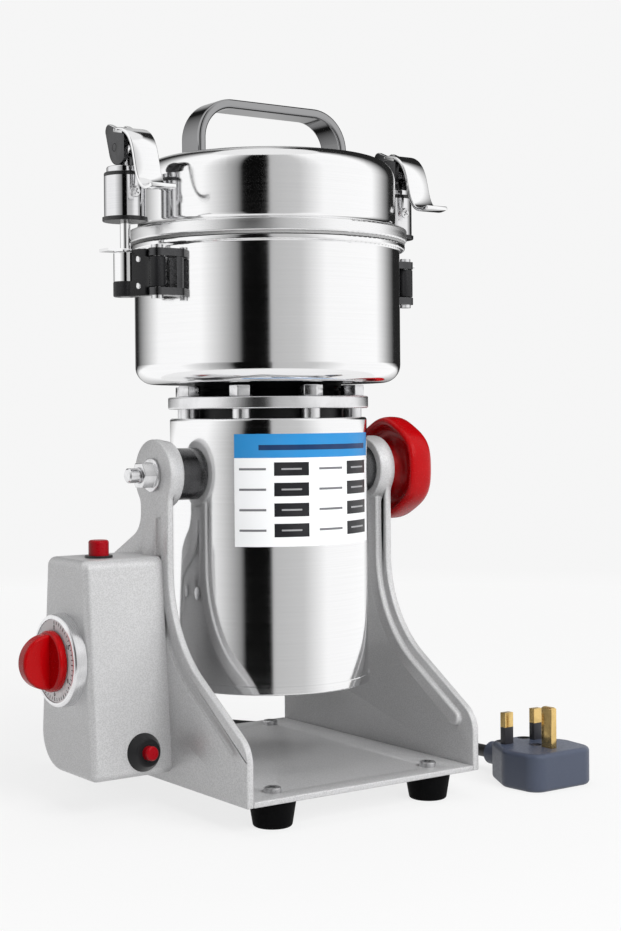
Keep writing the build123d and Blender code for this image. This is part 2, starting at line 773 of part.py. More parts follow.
with BuildPart() as motor_base_cap:
    with Locations((0, 0, CAP_Z)):
        Cylinder(CAP_R, CAP_DISC, align=BOTTOM)
        Cylinder(BEARING_R + BEARING_CUP, CAP_DISC + BEARING, align=BOTTOM)
    with Locations((0, 0, CAP_Z + CAP_DISC)):
        Cylinder(BEARING_R + BORE, BEARING, align=BOTTOM, mode=Mode.SUBTRACT)
    with BuildSketch(Plane.XY.offset(CAP_Z)):
        with PolarLocations(VENT_MID_R, CAP_VENTS):
            SlotOverall(VENT_LENGTH, VENT_WIDTH)
    extrude(amount=CAP_DISC, mode=Mode.SUBTRACT)
save(motor_base_cap, "motor_base_cap")

PAD_FACE = IN_X - BOSS_DEPTH - PAD_GAP

with BuildPart() as trunnion_pads:
    for turn, hole in ((-1, BOLT_R), (1, STUD_R)):
        pad_plane = Plane(origin=(turn * PAD_FACE, 0, PIVOT_Z), x_dir=(0, turn, 0), z_dir=(turn, 0, 0))
        with Locations(pad_plane):
            Cylinder(PAD_R, PAD_FACE, align=TOP)
            Cylinder(hole + FIT, PAD_FACE, align=TOP, mode=Mode.SUBTRACT)
    with Locations((0, 0, MOTOR_BOTTOM)):
        Cylinder(MOTOR_R + FIT, MOTOR_TOP, align=BOTTOM, mode=Mode.SUBTRACT)
save(trunnion_pads, "trunnion_pads")


# Neck ring, bolts and gasket

HUB_TOP = RING_TOP - RING / 2
HUB_BOTTOM = HUB_TOP - BEARING

with BuildPart() as neck_ring:
    with Locations((0, 0, RING_BOTTOM)):
        Cylinder(RING_R, RING, align=BOTTOM)
    fillet(neck_ring.edges().filter_by(GeomType.CIRCLE), RING_EDGE_R)
    with Locations((0, 0, MOTOR_TOP)):
        with PolarLocations(NECK_BOLT_CIRCLE, NECK_BOLTS, start_angle=NECK_BOLT_TURN):
            Cylinder(NECK_PAD_R, NECK_GAP + RING_EDGE_R, align=BOTTOM)
    with Locations((0, 0, HUB_BOTTOM)):
        Cylinder(BEARING_R + BEARING_CUP, BEARING, align=BOTTOM)
        Cylinder(BEARING_R + BORE, BEARING, align=BOTTOM, mode=Mode.SUBTRACT)
    with Locations((0, 0, RING_TOP)):
        Hole(SEAL_R, depth=RING)
        with PolarLocations(NECK_BOLT_CIRCLE, NECK_BOLTS, start_angle=NECK_BOLT_TURN):
            Hole(NECK_BOLT_R + BORE, depth=RING + NECK_GAP)
save(neck_ring, "neck_ring")

with BuildPart() as neck_bolts:
    with BuildSketch(Plane.XY.offset(RING_TOP)):
        with PolarLocations(NECK_BOLT_CIRCLE, NECK_BOLTS, start_angle=NECK_BOLT_TURN):
            RegularPolygon(NECK_HEAD_R, 6)
    extrude(amount=NECK_HEAD)
    with BuildSketch(Plane.XY.offset(RING_TOP)):
        with PolarLocations(NECK_BOLT_CIRCLE, NECK_BOLTS, start_angle=NECK_BOLT_TURN):
            Circle(NECK_BOLT_R)
    extrude(amount=-(RING + NECK_GAP + CAN_LIP))
save(neck_bolts, "neck_bolts")

with BuildPart() as neck_gasket:
    with Locations((0, 0, RING_TOP)):
        Cylinder(GASKET_R, GASKET, align=BOTTOM)
        Cylinder(SEAL_R + BEARING_CUP, GASKET, align=BOTTOM, mode=Mode.SUBTRACT)
    with BuildSketch(Plane.XY.offset(RING_TOP + GASKET / 2 - GASKET_GROOVE / 2)):
        Circle(GASKET_R)
        Circle(GASKET_R - GASKET_GROOVE, mode=Mode.SUBTRACT)
    extrude(amount=GASKET_GROOVE, mode=Mode.SUBTRACT)
save(neck_gasket, "neck_gasket")


# Motor inside: bearings, stator, coils and brush holders

LOW_BEARING_Z = CAP_Z + CAP_DISC
STATOR_TOP = STATOR_BOTTOM + STATOR
COMMUTATOR_Z = STATOR_TOP + WINDING
CAN_IN_R = MOTOR_R - CAN_WALL

with BuildPart() as shaft_bearings:
    with Locations((0, 0, LOW_BEARING_Z), (0, 0, HUB_BOTTOM)):
        Cylinder(BEARING_R, BEARING, align=BOTTOM)
        Cylinder(SHAFT_R + FIT, BEARING, align=BOTTOM, mode=Mode.SUBTRACT)
save(shaft_bearings, "shaft_bearings")

with BuildPart() as stator_core:
    with Locations((0, 0, STATOR_BOTTOM)):
        Cylinder(CAN_IN_R - BORE, STATOR, align=BOTTOM)
        Cylinder(STATOR_IN_R, STATOR, align=BOTTOM, mode=Mode.SUBTRACT)
save(stator_core, "stator_core")

with BuildPart() as field_coils:
    with Locations((0, 0, STATOR_BOTTOM - COIL), (0, 0, STATOR_TOP)):
        Cylinder(COIL_OUT_R, COIL, align=BOTTOM)
        Cylinder(COIL_IN_R, COIL, align=BOTTOM, mode=Mode.SUBTRACT)
save(field_coils, "field_coils")

with BuildPart() as brush_holders:
    with BuildSketch(Plane.XY.offset(COMMUTATOR_Z + COMMUTATOR / 2 - BRUSH_SIZE / 2)):
        Rectangle(BRUSH_SIZE, 2 * CAN_IN_R)
        Circle(CAN_IN_R - BORE, mode=Mode.INTERSECT)
        Circle(COMMUTATOR_R + RUN, mode=Mode.SUBTRACT)
    extrude(amount=BRUSH_SIZE)
save(brush_holders, "brush_holders")


# Rotor: shaft, armature, commutator and fan

FAN_Z = LOW_BEARING_Z + BEARING + RUN

with BuildPart() as rotor_shaft:
    with Locations((0, 0, LOW_BEARING_Z + RUN)):
        Cylinder(SHAFT_R, BLADE_Z - LOW_BEARING_Z - RUN, align=BOTTOM)
    with Locations((0, 0, BLADE_Z)):
        Cylinder(HUB_R, NUT_Z - BLADE_Z, align=BOTTOM)
    with Locations((0, 0, NUT_Z)):
        Cylinder(THREAD_R, BLADE_NUT + BLADE, align=BOTTOM)
    chamfer(rotor_shaft.edges().group_by(Axis.Z)[-1], THREAD_R / 5)
save(rotor_shaft, "rotor_shaft")

with BuildPart() as armature_core:
    with BuildSketch(Plane.XY.offset(STATOR_BOTTOM)):
        Circle(STATOR_IN_R - AIR_GAP)
        with PolarLocations(STATOR_IN_R - AIR_GAP, ARMATURE_SLOTS):
            Rectangle(2 * SLOT_DEPTH, SLOT_WIDTH, mode=Mode.SUBTRACT)
    extrude(amount=STATOR)
    with Locations((0, 0, STATOR_BOTTOM - WINDING)):
        Cylinder(WINDING_R, WINDING, align=BOTTOM)
    with Locations((0, 0, STATOR_TOP)):
        Cylinder(WINDING_R, WINDING - RUN, align=BOTTOM)
        Hole(SHAFT_R + FIT)
save(armature_core, "armature_core")

with BuildPart() as commutator:
    with Locations((0, 0, COMMUTATOR_Z)):
        Cylinder(COMMUTATOR_R, COMMUTATOR, align=BOTTOM)
        Cylinder(SHAFT_R + FIT, COMMUTATOR, align=BOTTOM, mode=Mode.SUBTRACT)
save(commutator, "commutator")

with BuildPart() as cooling_fan:
    with Locations((0, 0, FAN_Z)):
        Cylinder(FAN_R, FAN_DISC, align=BOTTOM)
        Cylinder(FAN_HUB_R, FAN_HEIGHT, align=BOTTOM)
    with BuildSketch(Plane.XY.offset(FAN_Z)):
        with PolarLocations(0, FAN_VANES):
            with Locations((FAN_HUB_R - VANE, 0)):
                Rectangle(FAN_R - FAN_HUB_R, VANE, align=(Align.MIN, Align.CENTER))
    extrude(amount=FAN_HEIGHT)
    with Locations((0, 0, FAN_Z)):
        Cylinder(SHAFT_R + FIT, FAN_HEIGHT, align=BOTTOM, mode=Mode.SUBTRACT)
save(cooling_fan, "cooling_fan")


# Blades, spacer and nut


def blade_outline(turn):
    """Two-winged blade with swept tips and a hub hole."""
    half = BLADE_LENGTH / 2
    wide = BLADE_WIDTH / 2
    with Locations(Location((0, 0, 0), (0, 0, turn))):
        Polygon(
            (half, -wide),
            (half, 0),
            (half - BLADE_TIP, wide),
            (-half, wide),
            (-half, 0),
            (BLADE_TIP - half, -wide),
            align=None,
        )
    Circle(HUB_R + FIT, mode=Mode.SUBTRACT)


def blade_tips(turn):
    """Upturned end plates of the lower blade."""
    wide = BLADE_WIDTH / 2
    with Locations(Location((0, 0, 0), (0, 0, turn))):
        for end in (-1, 1):
            with Locations((end * (BLADE_LENGTH / 2 - BLADE / 2), -end * wide / 2)):
                Rectangle(BLADE, wide)


with BuildPart() as grinding_blades:
    with BuildSketch(Plane.XY.offset(BLADE_Z)):
        blade_outline(0)
    extrude(amount=BLADE)
    with BuildSketch(Plane.XY.offset(BLADE_Z + BLADE)):
        blade_tips(0)
    extrude(amount=BLADE_TIP_RISE)
    with BuildSketch(Plane.XY.offset(UPPER_BLADE_Z)):
        blade_outline(BLADE_TURN)
    extrude(amount=BLADE)
save(grinding_blades, "grinding_blades")

with BuildPart() as blade_spacer:
    with Locations((0, 0, BLADE_Z + BLADE)):
        Cylinder(SPACER_R, SPACER, align=BOTTOM)
        Cylinder(HUB_R + FIT, SPACER, align=BOTTOM, mode=Mode.SUBTRACT)
save(blade_spacer, "blade_spacer")

with BuildPart() as blade_nut:
    with BuildSketch(Plane.XY.offset(NUT_Z)):
        RegularPolygon(BLADE_NUT_R, 6)
        Circle(THREAD_R + FIT, mode=Mode.SUBTRACT)
    extrude(amount=BLADE_NUT)
save(blade_nut, "blade_nut")


# Pot and shaft seal

with BuildPart() as grinding_pot:
    rim_bottom = POT_TOP - POT_RIM
    rim_r = POT_RIM / 3
    floor_r = POT_CORNER_R - POT_WALL
    inner_r = POT_R - POT_WALL
    with BuildSketch(Plane.XZ):
        with BuildLine():
            FilletPolyline(
                (SEAL_R, POT_BOTTOM),
                (POT_R, POT_BOTTOM),
                (POT_R, rim_bottom),
                (POT_RIM_R, rim_bottom),
                (POT_RIM_R, POT_TOP),
                (inner_r, POT_TOP),
                (inner_r, POT_FLOOR),
                (SEAL_R, POT_FLOOR),
                radius=[0, POT_CORNER_R, POT_WALL / 2, rim_r, rim_r, 0, floor_r, 0],
                close=True,
            )
        make_face()
    revolve(axis=Axis.Z)
save(grinding_pot, "grinding_pot")

with BuildPart() as shaft_seal:
    with Locations((0, 0, POT_BOTTOM)):
        Cylinder(SEAL_R - FIT, POT_WALL + SEAL, align=BOTTOM)
        Cylinder(SHAFT_R + BORE, POT_WALL + SEAL, align=BOTTOM, mode=Mode.SUBTRACT)
    with Locations((0, 0, POT_FLOOR)):
        Cylinder(SEAL_R + BEARING_CUP, SEAL / 2, align=BOTTOM)
        Cylinder(SHAFT_R + BORE, SEAL / 2, align=BOTTOM, mode=Mode.SUBTRACT)
save(shaft_seal, "shaft_seal")


# Lid, gasket and strap handle

SPIGOT_R = POT_R - POT_WALL - SPIGOT_GAP
SPIGOT_Z = BAND_BOTTOM - SPIGOT
DOME_IN_R = LID_R - LID_WALL

with BuildPart() as lid_shell:
    with BuildSketch(Plane.XZ):
        with BuildLine():
            FilletPolyline(
                (0, LID_TOP),
                (LID_R, LID_TOP),
                (LID_R, LEDGE_Z + LID_FOOT),
                (LID_R + LID_LEDGE_R + LID_FOOT, LEDGE_Z + LID_FOOT),
                (LID_R + LID_LEDGE_R + LID_FOOT, LEDGE_Z),
                (SPIGOT_R, LEDGE_Z),
                (SPIGOT_R, SPIGOT_Z),
                (DOME_IN_R, SPIGOT_Z),
                (DOME_IN_R, LID_TOP - LID_WALL),
                (0, LID_TOP - LID_WALL),
                radius=[0, LID_SHOULDER_R, LID_LEDGE_R, 0, 0, 0, 0, 0, LID_SHOULDER_R - LID_WALL, 0],
                close=True,
            )
        make_face()
    revolve(axis=Axis.Z)
save(lid_shell, "lid_shell")

with BuildPart() as lid_band:
    with BuildSketch(Plane.XZ):
        with BuildLine():
            FilletPolyline(
                (SPIGOT_R + FIT, LEDGE_Z),
                (BAND_R, LEDGE_Z),
                (BAND_R, BAND_BOTTOM),
                (SPIGOT_R + FIT, BAND_BOTTOM),
                radius=[0, BAND / 6, BAND / 6, 0],
                close=True,
            )
        make_face()
    revolve(axis=Axis.Z)
save(lid_band, "lid_band")

with BuildPart() as lid_gasket:
    with Locations((0, 0, BAND_BOTTOM)):
        Cylinder(POT_RIM_R, LID_GASKET, align=TOP)
        Cylinder(SPIGOT_R + BORE, LID_GASKET, align=TOP, mode=Mode.SUBTRACT)
save(lid_gasket, "lid_gasket")

with BuildPart() as lid_handle:
    foot_x = HANDLE_SPAN / 2 - HANDLE_THICK / 2
    bar_z = LID_TOP + HANDLE_RISE - HANDLE_THICK / 2
    with BuildLine() as strap:
        FilletPolyline(
            (-foot_x, 0, LID_TOP),
            (-foot_x, 0, bar_z),
            (foot_x, 0, bar_z),
            (foot_x, 0, LID_TOP),
            radius=[HANDLE_CORNER_R, HANDLE_CORNER_R],
        )
    with BuildSketch(Plane.XY.offset(LID_TOP)):
        with Locations((-foot_x, 0)):
            RectangleRounded(HANDLE_THICK, HANDLE_WIDTH, HANDLE_EDGE_R)
    sweep(path=strap.line)
save(lid_handle, "lid_handle")


# Clamps


def bracket_plan(side):
    """Plan of a hinge ear from the pot wall to the round end at the pin."""
    pin = (side * PIN_OUT, -PIN_FORWARD)
    root = (side * (PIN_OUT - EAR_REACH), -PIN_FORWARD)
    with BuildSketch() as ear:
        with Locations(pin, root):
            Circle(EAR_R)
        make_hull(ear.edges())
        with Locations(pin):
            Circle(PIN_R + FIT, mode=Mode.SUBTRACT)
    return ear.sketch


with BuildPart() as clamp_brackets:
    for side in (-1, 1):
        for level in (CLAMP_BOTTOM, CLAMP_BOTTOM + CLAMP_HEIGHT - EAR):
            with BuildSketch(Plane.XY.offset(level)):
                add(bracket_plan(side))
            extrude(amount=EAR)
        with BuildSketch(Plane.XY.offset(CLAMP_BOTTOM)):
            with Locations((side * (PIN_OUT - EAR_REACH), -PIN_FORWARD)):
                Rectangle(EAR_R, EAR_WEB)
        extrude(amount=CLAMP_HEIGHT)
    with Locations((0, 0, POT_BOTTOM)):
        Cylinder(POT_R + FIT, POT_HEIGHT, align=BOTTOM, mode=Mode.SUBTRACT)
save(clamp_brackets, "clamp_brackets")

with BuildPart() as clamp_hinge_pins:
    for side in (-1, 1):
        with Locations((side * PIN_OUT, -PIN_FORWARD, PIN_LOW)):
            Cylinder(PIN_R, PIN_HIGH - PIN_LOW, align=BOTTOM)
            Cylinder(PIN_HEAD_R, PIN_HEAD, align=BOTTOM)
        with Locations((side * PIN_OUT, -PIN_FORWARD, PIN_HIGH)):
            Cylinder(PIN_HEAD_R, PIN_HEAD, align=TOP)
save(clamp_hinge_pins, "clamp_hinge_pins")

LINK_LOW = CLAMP_BOTTOM + EAR + RUN
LINK_HIGH = CLAMP_BOTTOM + CLAMP_HEIGHT - EAR - RUN
SHELF_TOP = CLAMP_BOTTOM + SHELF
BARREL_TOP = SHELF_TOP + BARREL
LINK_LENGTH = math.hypot(ROD_OUT - PIN_OUT, PIN_FORWARD)


def link_plane(side, level):
    """Plane at the hinge pin whose x axis points at the rod."""
    toward = (side * (ROD_OUT - PIN_OUT), PIN_FORWARD, 0)
    return Plane(origin=(side * PIN_OUT, -PIN_FORWARD, level), x_dir=toward, z_dir=(0, 0, 1))


def make_link(side, name):
    """Swing link: knuckle on the pin, tall web, shelf under the barrel."""
    with BuildPart() as link:
        with BuildSketch(link_plane(side, LINK_LOW)):
            Circle(LINK_R)
            with Locations((0, 0)):
                Rectangle(
                    LINK_LENGTH - BARREL_R - RUN, LINK_WEB, align=(Align.MIN, Align.CENTER)
                )
        extrude(amount=LINK_HIGH - LINK_LOW)
        web_start = EAR_R + 2 * RUN
        web_end = LINK_LENGTH - BARREL_R - RUN
        with BuildSketch(link_plane(side, CLAMP_BOTTOM)):
            with Locations((web_start, 0)):
                Rectangle(web_end - web_start, LINK_WEB, align=(Align.MIN, Align.CENTER))
        extrude(amount=CLAMP_HEIGHT)
        with BuildSketch(link_plane(side, CLAMP_BOTTOM)):
            with Locations((LINK_LENGTH, 0)):
                Circle(SHELF_R)
            with Locations((web_end - RUN, 0)):
                Rectangle(BARREL_R, LINK_WEB, align=(Align.MIN, Align.CENTER))
        extrude(amount=SHELF)
        with BuildSketch(link_plane(side, CLAMP_BOTTOM)):
            Circle(PIN_R + PIN_RUN)
            with Locations((LINK_LENGTH, 0)):
                Circle(ROD_R + FIT)
        extrude(amount=CLAMP_HEIGHT, mode=Mode.SUBTRACT)
    save(link, name)


def lever_plane(side, out):
    """Plane across the lever, at a distance along X from its rod."""
    return Plane(origin=(side * ROD_OUT + out, 0, LEVER_Z), x_dir=(0, 1, 0), z_dir=(1, 0, 0))


def make_rod(side, name):
    """Clamp rod with its barrel nut, finger tab and top eye."""
    place = (side * ROD_OUT, 0)
    with BuildPart() as rod:
        with Locations((*place, CLAMP_BOTTOM)):
            Cylinder(ROD_R, LEVER_Z - CLAMP_BOTTOM, align=BOTTOM)
        with Locations((*place, SHELF_TOP)):
            Cylinder(BARREL_R, BARREL, align=BOTTOM)
        fillet(rod.edges().filter_by_position(Axis.Z, BARREL_TOP - FIT, BARREL_TOP + FIT), TAB / 2)
        with BuildSketch(Plane.XY.offset(BARREL_TOP)):
            with Locations(place):
                Circle(TAB_WIDTH / 2)
            with Locations((side * (ROD_OUT + TAB_REACH / 2), 0)):
                Rectangle(TAB_REACH, TAB_WIDTH)
        extrude(amount=TAB)
        with Locations(lever_plane(side, 0)):
            Cylinder(EYE_R, EYE)
            Cylinder(LEVER_PIN_R + PIN_RUN, EYE, mode=Mode.SUBTRACT)
    save(rod, name)


def make_cup(side, name):
    """Pressure cup that slides on the rod, with a foot flange and a top collar."""
    with BuildPart() as cup:
        with Locations((side * ROD_OUT, 0, CUP_BOTTOM)):
            Cylinder(CUP_R, CUP_HEIGHT - CUP_COLLAR, align=BOTTOM)
            Cylinder(CUP_NECK_R, CUP_HEIGHT, align=BOTTOM)
            Cylinder(CUP_FLANGE_R, CUP_FLANGE, align=BOTTOM)
        rounds = cup.edges().filter_by(GeomType.CIRCLE)
        shoulder = rounds.filter_by(lambda e: abs(e.radius - CUP_R) < FIT).sort_by(Axis.Z)[-1]
        fillet([shoulder, rounds.sort_by(Axis.Z)[-1]], CUP_COLLAR / 4)
        fillet(cup.edges().group_by(Axis.Z)[0], CUP_FLANGE / 4)
        with Locations((side * ROD_OUT, 0, CUP_BOTTOM)):
            Cylinder(ROD_R + BORE, CUP_HEIGHT, align=BOTTOM, mode=Mode.SUBTRACT)
    save(cup, name)


def cheek_outline():
    """Cam disc and open stop horn of one cheek, round the lever pin."""
    with BuildSketch() as cheek:
        with Locations((CAM_OFFSET_Y, CAM_OFFSET_Z)):
            Circle(CAM_R)
        with Locations((HORN_Y, HORN_Z)):
            Circle(HORN_R)
        make_hull(cheek.edges())
        Circle(LEVER_PIN_R + FIT, mode=Mode.SUBTRACT)
    return cheek.sketch


def lever_strip():
    """S-bent finger plate that leaves the cheeks, runs down and ends in a flat lip."""
    top = CAM_R + CAM_OFFSET_Z
    with BuildSketch() as strip:
        with BuildLine():
            FilletPolyline(
                (CAM_OFFSET_Y + LEVER_SHEET, top),
                (CAM_OFFSET_Y - CAM_R, top - LEVER_SHEET),
                (-LEVER_REACH + CAM_R + LEVER_SHEET, -LEVER_DROP + LEVER_SHEET),
                (-LEVER_REACH, -LEVER_DROP),
                radius=[CAM_R / 2, CAM_R],
            )
        trace(line_width=LEVER_SHEET)
    return strip.sketch


def make_lever(side, name):
    """Cam lever: two cheeks, the finger plate and the cross pin."""
    cheek_in = EYE / 2 + RUN
    with BuildPart() as lever:
        for out in (cheek_in, -cheek_in - CHEEK):
            with BuildSketch(lever_plane(side, out)):
                add(cheek_outline())
            extrude(amount=CHEEK)
        with BuildSketch(lever_plane(side, -LEVER_WIDTH / 2)):
            add(lever_strip())
        extrude(amount=LEVER_WIDTH)
        with BuildSketch(lever_plane(side, -cheek_in - CHEEK)):
            Circle(LEVER_PIN_R)
        extrude(amount=2 * (cheek_in + CHEEK))
    save(lever, name)


for clamp_side, side_name in ((-1, "left"), (1, "right")):
    make_link(clamp_side, f"{side_name}_clamp_link")
    make_rod(clamp_side, f"{side_name}_clamp_rod")
    make_cup(clamp_side, f"{side_name}_clamp_cup")
    make_lever(clamp_side, f"{side_name}_clamp_lever")


# Strain relief, cord and plug

GLAND_EXIT = GLAND_PLANE.offset(GLAND_FLANGE + GLAND_LENGTH)

with BuildPart(GLAND_PLANE) as cord_strain_relief:
    Cylinder(GLAND_FLANGE_R, GLAND_FLANGE, align=BOTTOM)
    with Locations((0, 0, GLAND_FLANGE)):
        Cone(GLAND_R, GLAND_TIP_R, GLAND_LENGTH, align=BOTTOM)
    Cylinder(GLAND_TIP_R, 2 * BOX_WALL, align=TOP)
    rib_pitch = GLAND_LENGTH / (GLAND_RIBS + 1)
    for rib in range(1, GLAND_RIBS + 1):
        cut_r = GLAND_R + (GLAND_TIP_R - GLAND_R) * rib / (GLAND_RIBS + 1) - GLAND_RIB_DEPTH
        with BuildSketch(GLAND_PLANE.offset(GLAND_FLANGE + rib * rib_pitch)):
            Circle(GLAND_R)
            Circle(cut_r, mode=Mode.SUBTRACT)
        extrude(amount=GLAND_RIB_GAP, mode=Mode.SUBTRACT)
save(cord_strain_relief, "cord_strain_relief")


def route_radii(points):
    """Largest arc at each corner of a cord route: 0.45 of its shorter run."""
    radii = []
    for before, here, after in zip(points, points[1:], points[2:]):
        run_in = Vector(here) - Vector(before)
        run_out = Vector(after) - Vector(here)
        turn = math.radians(run_in.get_angle(run_out))
        radii.append(0.45 * min(run_in.length, run_out.length) / math.tan(turn / 2))
    return radii


def cord_tube(points, name):
    """Round cord along straight runs joined by tangent arcs."""
    radii = route_radii(points)
    with BuildPart() as tube:
        with BuildLine() as route:
            FilletPolyline(*points, radius=radii)
        with BuildSketch(Plane(origin=route.line @ 0, z_dir=route.line % 0)):
            Circle(CORD_R)
        sweep(path=route.line)
    length = route.wire().length
    section = math.pi * CORD_R ** 2
    print(name, "length", round(length, 1), "radii", [round(r, 1) for r in radii])
    print(name, "volume over section times length", round(tube.part.volume / section / length, 4))
    save(tube, name)


COIL_FRONT = (COIL_X, COIL_Y - COIL_OUTER)
CORD_Z = CORD_R
LAYER_Z = CORD_R + COIL_STEP
LEAD_OUT = 24.0
PLUG_RUN = 19.0


def gland_point(out):
    """Point on the axis of the strain relief, past its tip."""
    return tuple(GLAND_EXIT.origin + GLAND_EXIT.z_dir * out)


LEAD_ROUTE = [
    gland_point(0),
    gland_point(LEAD_OUT),
    (-78.0, 117.0, 45.0),
    (-59.0, 128.0, 28.0),
    (-37.0, 133.0, 12.0),
    (-14.0, COIL_FRONT[1], CORD_Z),
    (COIL_FRONT[0] - 2 * CORD_R, COIL_FRONT[1], CORD_Z),
]

TAIL_ROUTE = [
    (COIL_FRONT[0] + 2 * CORD_R, COIL_FRONT[1], LAYER_Z),
    (38.0, COIL_FRONT[1], LAYER_Z),
    (70.0, 129.0, 5.0),
    (100.0, 112.0, CORD_Z),
    (119.0, 84.0, CORD_Z),
    (128.0, 52.0, CORD_Z),
    (129.5, 22.0, CORD_Z),
    (127.0, -4.0, 6.5),
    (PLUG_X, PLUG_Y + SLEEVE + PLUG_RUN, PLUG_LIFT),
    (PLUG_X, PLUG_Y + SLEEVE, PLUG_LIFT),
]

cord_tube(LEAD_ROUTE, "power_cord_lead")
cord_tube(TAIL_ROUTE, "power_cord_tail")


def coil_point(turns):
    """Centre of the coiled cord after a number of turns from its front point."""
    half = COIL_TURNS / 2
    inward = half - abs(turns - half)
    radius = COIL_OUTER - COIL_STEP * inward
    climb = min(max((turns - half + 0.25) / 0.5, 0), 1)
    rise = climb * climb * (3 - 2 * climb)
    angle = 2 * math.pi * turns - math.pi / 2
    return Vector(
        COIL_X + radius * math.cos(angle),
        COIL_Y + radius * math.sin(angle),
        CORD_Z + COIL_STEP * rise,
    )


def coil_heading(turns):
    """Direction of the coiled cord, level at both ends."""
    if turns <= 0 or turns >= COIL_TURNS:
        return Vector(1, 0, 0)
    step = 0.001
    return (coil_point(turns + step) - coil_point(turns - step)).normalized()


def add_biarc(start, start_dir, end, end_dir):
    """Two tangent arcs from one point and heading to the next."""
    across = end - start
    total = start_dir + end_dir
    spread = 2 * (1 - start_dir.dot(end_dir))
    along = across.dot(total)
    reach = (math.sqrt(along ** 2 + spread * across.dot(across)) - along) / spread
    middle = (start + end + (start_dir - end_dir) * reach) * 0.5
    heading = ((end - end_dir * reach) - (start + start_dir * reach)).normalized()
    TangentArc(start, middle, tangent=start_dir)
    TangentArc(middle, end, tangent=heading)


STEPS_PER_TURN = 4

with BuildPart() as power_cord_coil:
    first = coil_point(0)
    last = coil_point(COIL_TURNS)
    lead_in = Vector(2 * CORD_R, 0, 0)
    with BuildLine() as winding:
        Line(first - lead_in, first)
        for step in range(COIL_TURNS * STEPS_PER_TURN):
            here = step / STEPS_PER_TURN
            there = (step + 1) / STEPS_PER_TURN
            add_biarc(coil_point(here), coil_heading(here), coil_point(there), coil_heading(there))
        Line(last, last + lead_in)
    with BuildSketch(Plane(origin=first - lead_in, z_dir=(1, 0, 0))):
        Circle(CORD_R)
    sweep(path=winding.line)
save(power_cord_coil, "power_cord_coil")


def coil_gap():
    """Least gap between turns of the coil, measured on points along it."""
    samples = 48
    count = COIL_TURNS * samples
    points = [coil_point(index / samples) for index in range(count + 1)]
    least = min(
        (points[a] - points[b]).length
        for a in range(count + 1)
        for b in range(a + samples // 2, count + 1)
    )
    return least - 2 * CORD_R


print("coil gap", round(coil_gap(), 2), "length", round(winding.wire().length, 1))

PLUG_BASE = Plane(origin=(PLUG_X, PLUG_Y, 0))
PLUG_FACE = PLUG_BASE.offset(PLUG_THICK)
EARTH_Y = -PLUG_LENGTH + PIN_EDGE
LIVE_Y = EARTH_Y + PIN_PITCH


def plug_outline():
    """Plug seen from its pins: wide at the earth end, narrow at the cord."""
    half = PLUG_WIDTH / 2
    nose = PLUG_NOSE / 2
    with BuildSketch() as outline:
        with BuildLine():
            FilletPolyline(
                (-nose, 0),
                (nose, 0),
                (half, -PLUG_LENGTH / 2),
                (half - PLUG_EDGE_R, -PLUG_LENGTH),
                (PLUG_EDGE_R - half, -PLUG_LENGTH),
                (-half, -PLUG_LENGTH / 2),
                radius=PLUG_CORNER_R,
                close=True,
            )
        make_face()
    return outline.sketch


def plug_pin_outlines(clear):
    """Slots or sections of the three flat pins."""
    with Locations((0, EARTH_Y)):
        Rectangle(PIN_THICK + 2 * clear, EARTH_WIDTH + 2 * clear)
    with Locations((-PIN_PITCH / 2, LIVE_Y), (PIN_PITCH / 2, LIVE_Y)):
        Rectangle(LIVE_WIDTH + 2 * clear, PIN_THICK + 2 * clear)


def plug_screw_places():
    """Cover screw between the pins and two cord grip screws near the cord."""
    return [(0, (EARTH_Y + LIVE_Y) / 2), (-PLUG_NOSE / 3, -SLEEVE / 2), (PLUG_NOSE / 3, -SLEEVE / 2)]


with BuildPart() as plug_body:
    with BuildSketch(PLUG_BASE):
        add(plug_outline())
    extrude(amount=PLUG_THICK)
    fillet(plug_body.edges().group_by(Axis.Z)[-1], PLUG_EDGE_R)
    fillet(plug_body.edges().group_by(Axis.Z)[0], PLUG_EDGE_R)
    sleeve_end = (PLUG_X, PLUG_Y + SLEEVE, PLUG_LIFT)
    with BuildSketch(Plane(origin=sleeve_end, x_dir=(1, 0, 0), z_dir=(0, 1, 0))):
        Circle(SLEEVE_R)
    extrude(amount=-SLEEVE - PLUG_CORNER_R)
    with BuildSketch(PLUG_FACE):
        plug_pin_outlines(FIT)
        with Locations(*plug_screw_places()):
            Circle(PLUG_SCREW_R + FIT)
    extrude(amount=-PLUG_SCREW_SEAT, mode=Mode.SUBTRACT)
    with BuildSketch(PLUG_FACE):
        plug_pin_outlines(FIT)
    extrude(amount=-PIN_SEAT, mode=Mode.SUBTRACT)
save(plug_body, "plug_body")

with BuildPart() as plug_pins:
    with BuildSketch(PLUG_FACE.offset(-PIN_SEAT)):
        with Locations((0, EARTH_Y)):
            Rectangle(PIN_THICK, EARTH_WIDTH)
    extrude(amount=PIN_SEAT + EARTH_LENGTH)
    with BuildSketch(PLUG_FACE.offset(-PIN_SEAT)):
        with Locations((-PIN_PITCH / 2, LIVE_Y), (PIN_PITCH / 2, LIVE_Y)):
            Rectangle(LIVE_WIDTH, PIN_THICK)
    extrude(amount=PIN_SEAT + LIVE_LENGTH)
    chamfer(plug_pins.faces().filter_by(Axis.Z).group_by(Axis.Z)[-1].edges(), PIN_THICK / 5)
save(plug_pins, "plug_pins")

with BuildPart() as plug_screws:
    with BuildSketch(PLUG_FACE.offset(-PLUG_SCREW_SEAT)):
        with Locations(*plug_screw_places()):
            Circle(PLUG_SCREW_R)
    extrude(amount=PLUG_SCREW_SEAT / 2)
save(plug_screws, "plug_screws")
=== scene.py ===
"""Looks of a swing-type powder grinder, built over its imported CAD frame."""

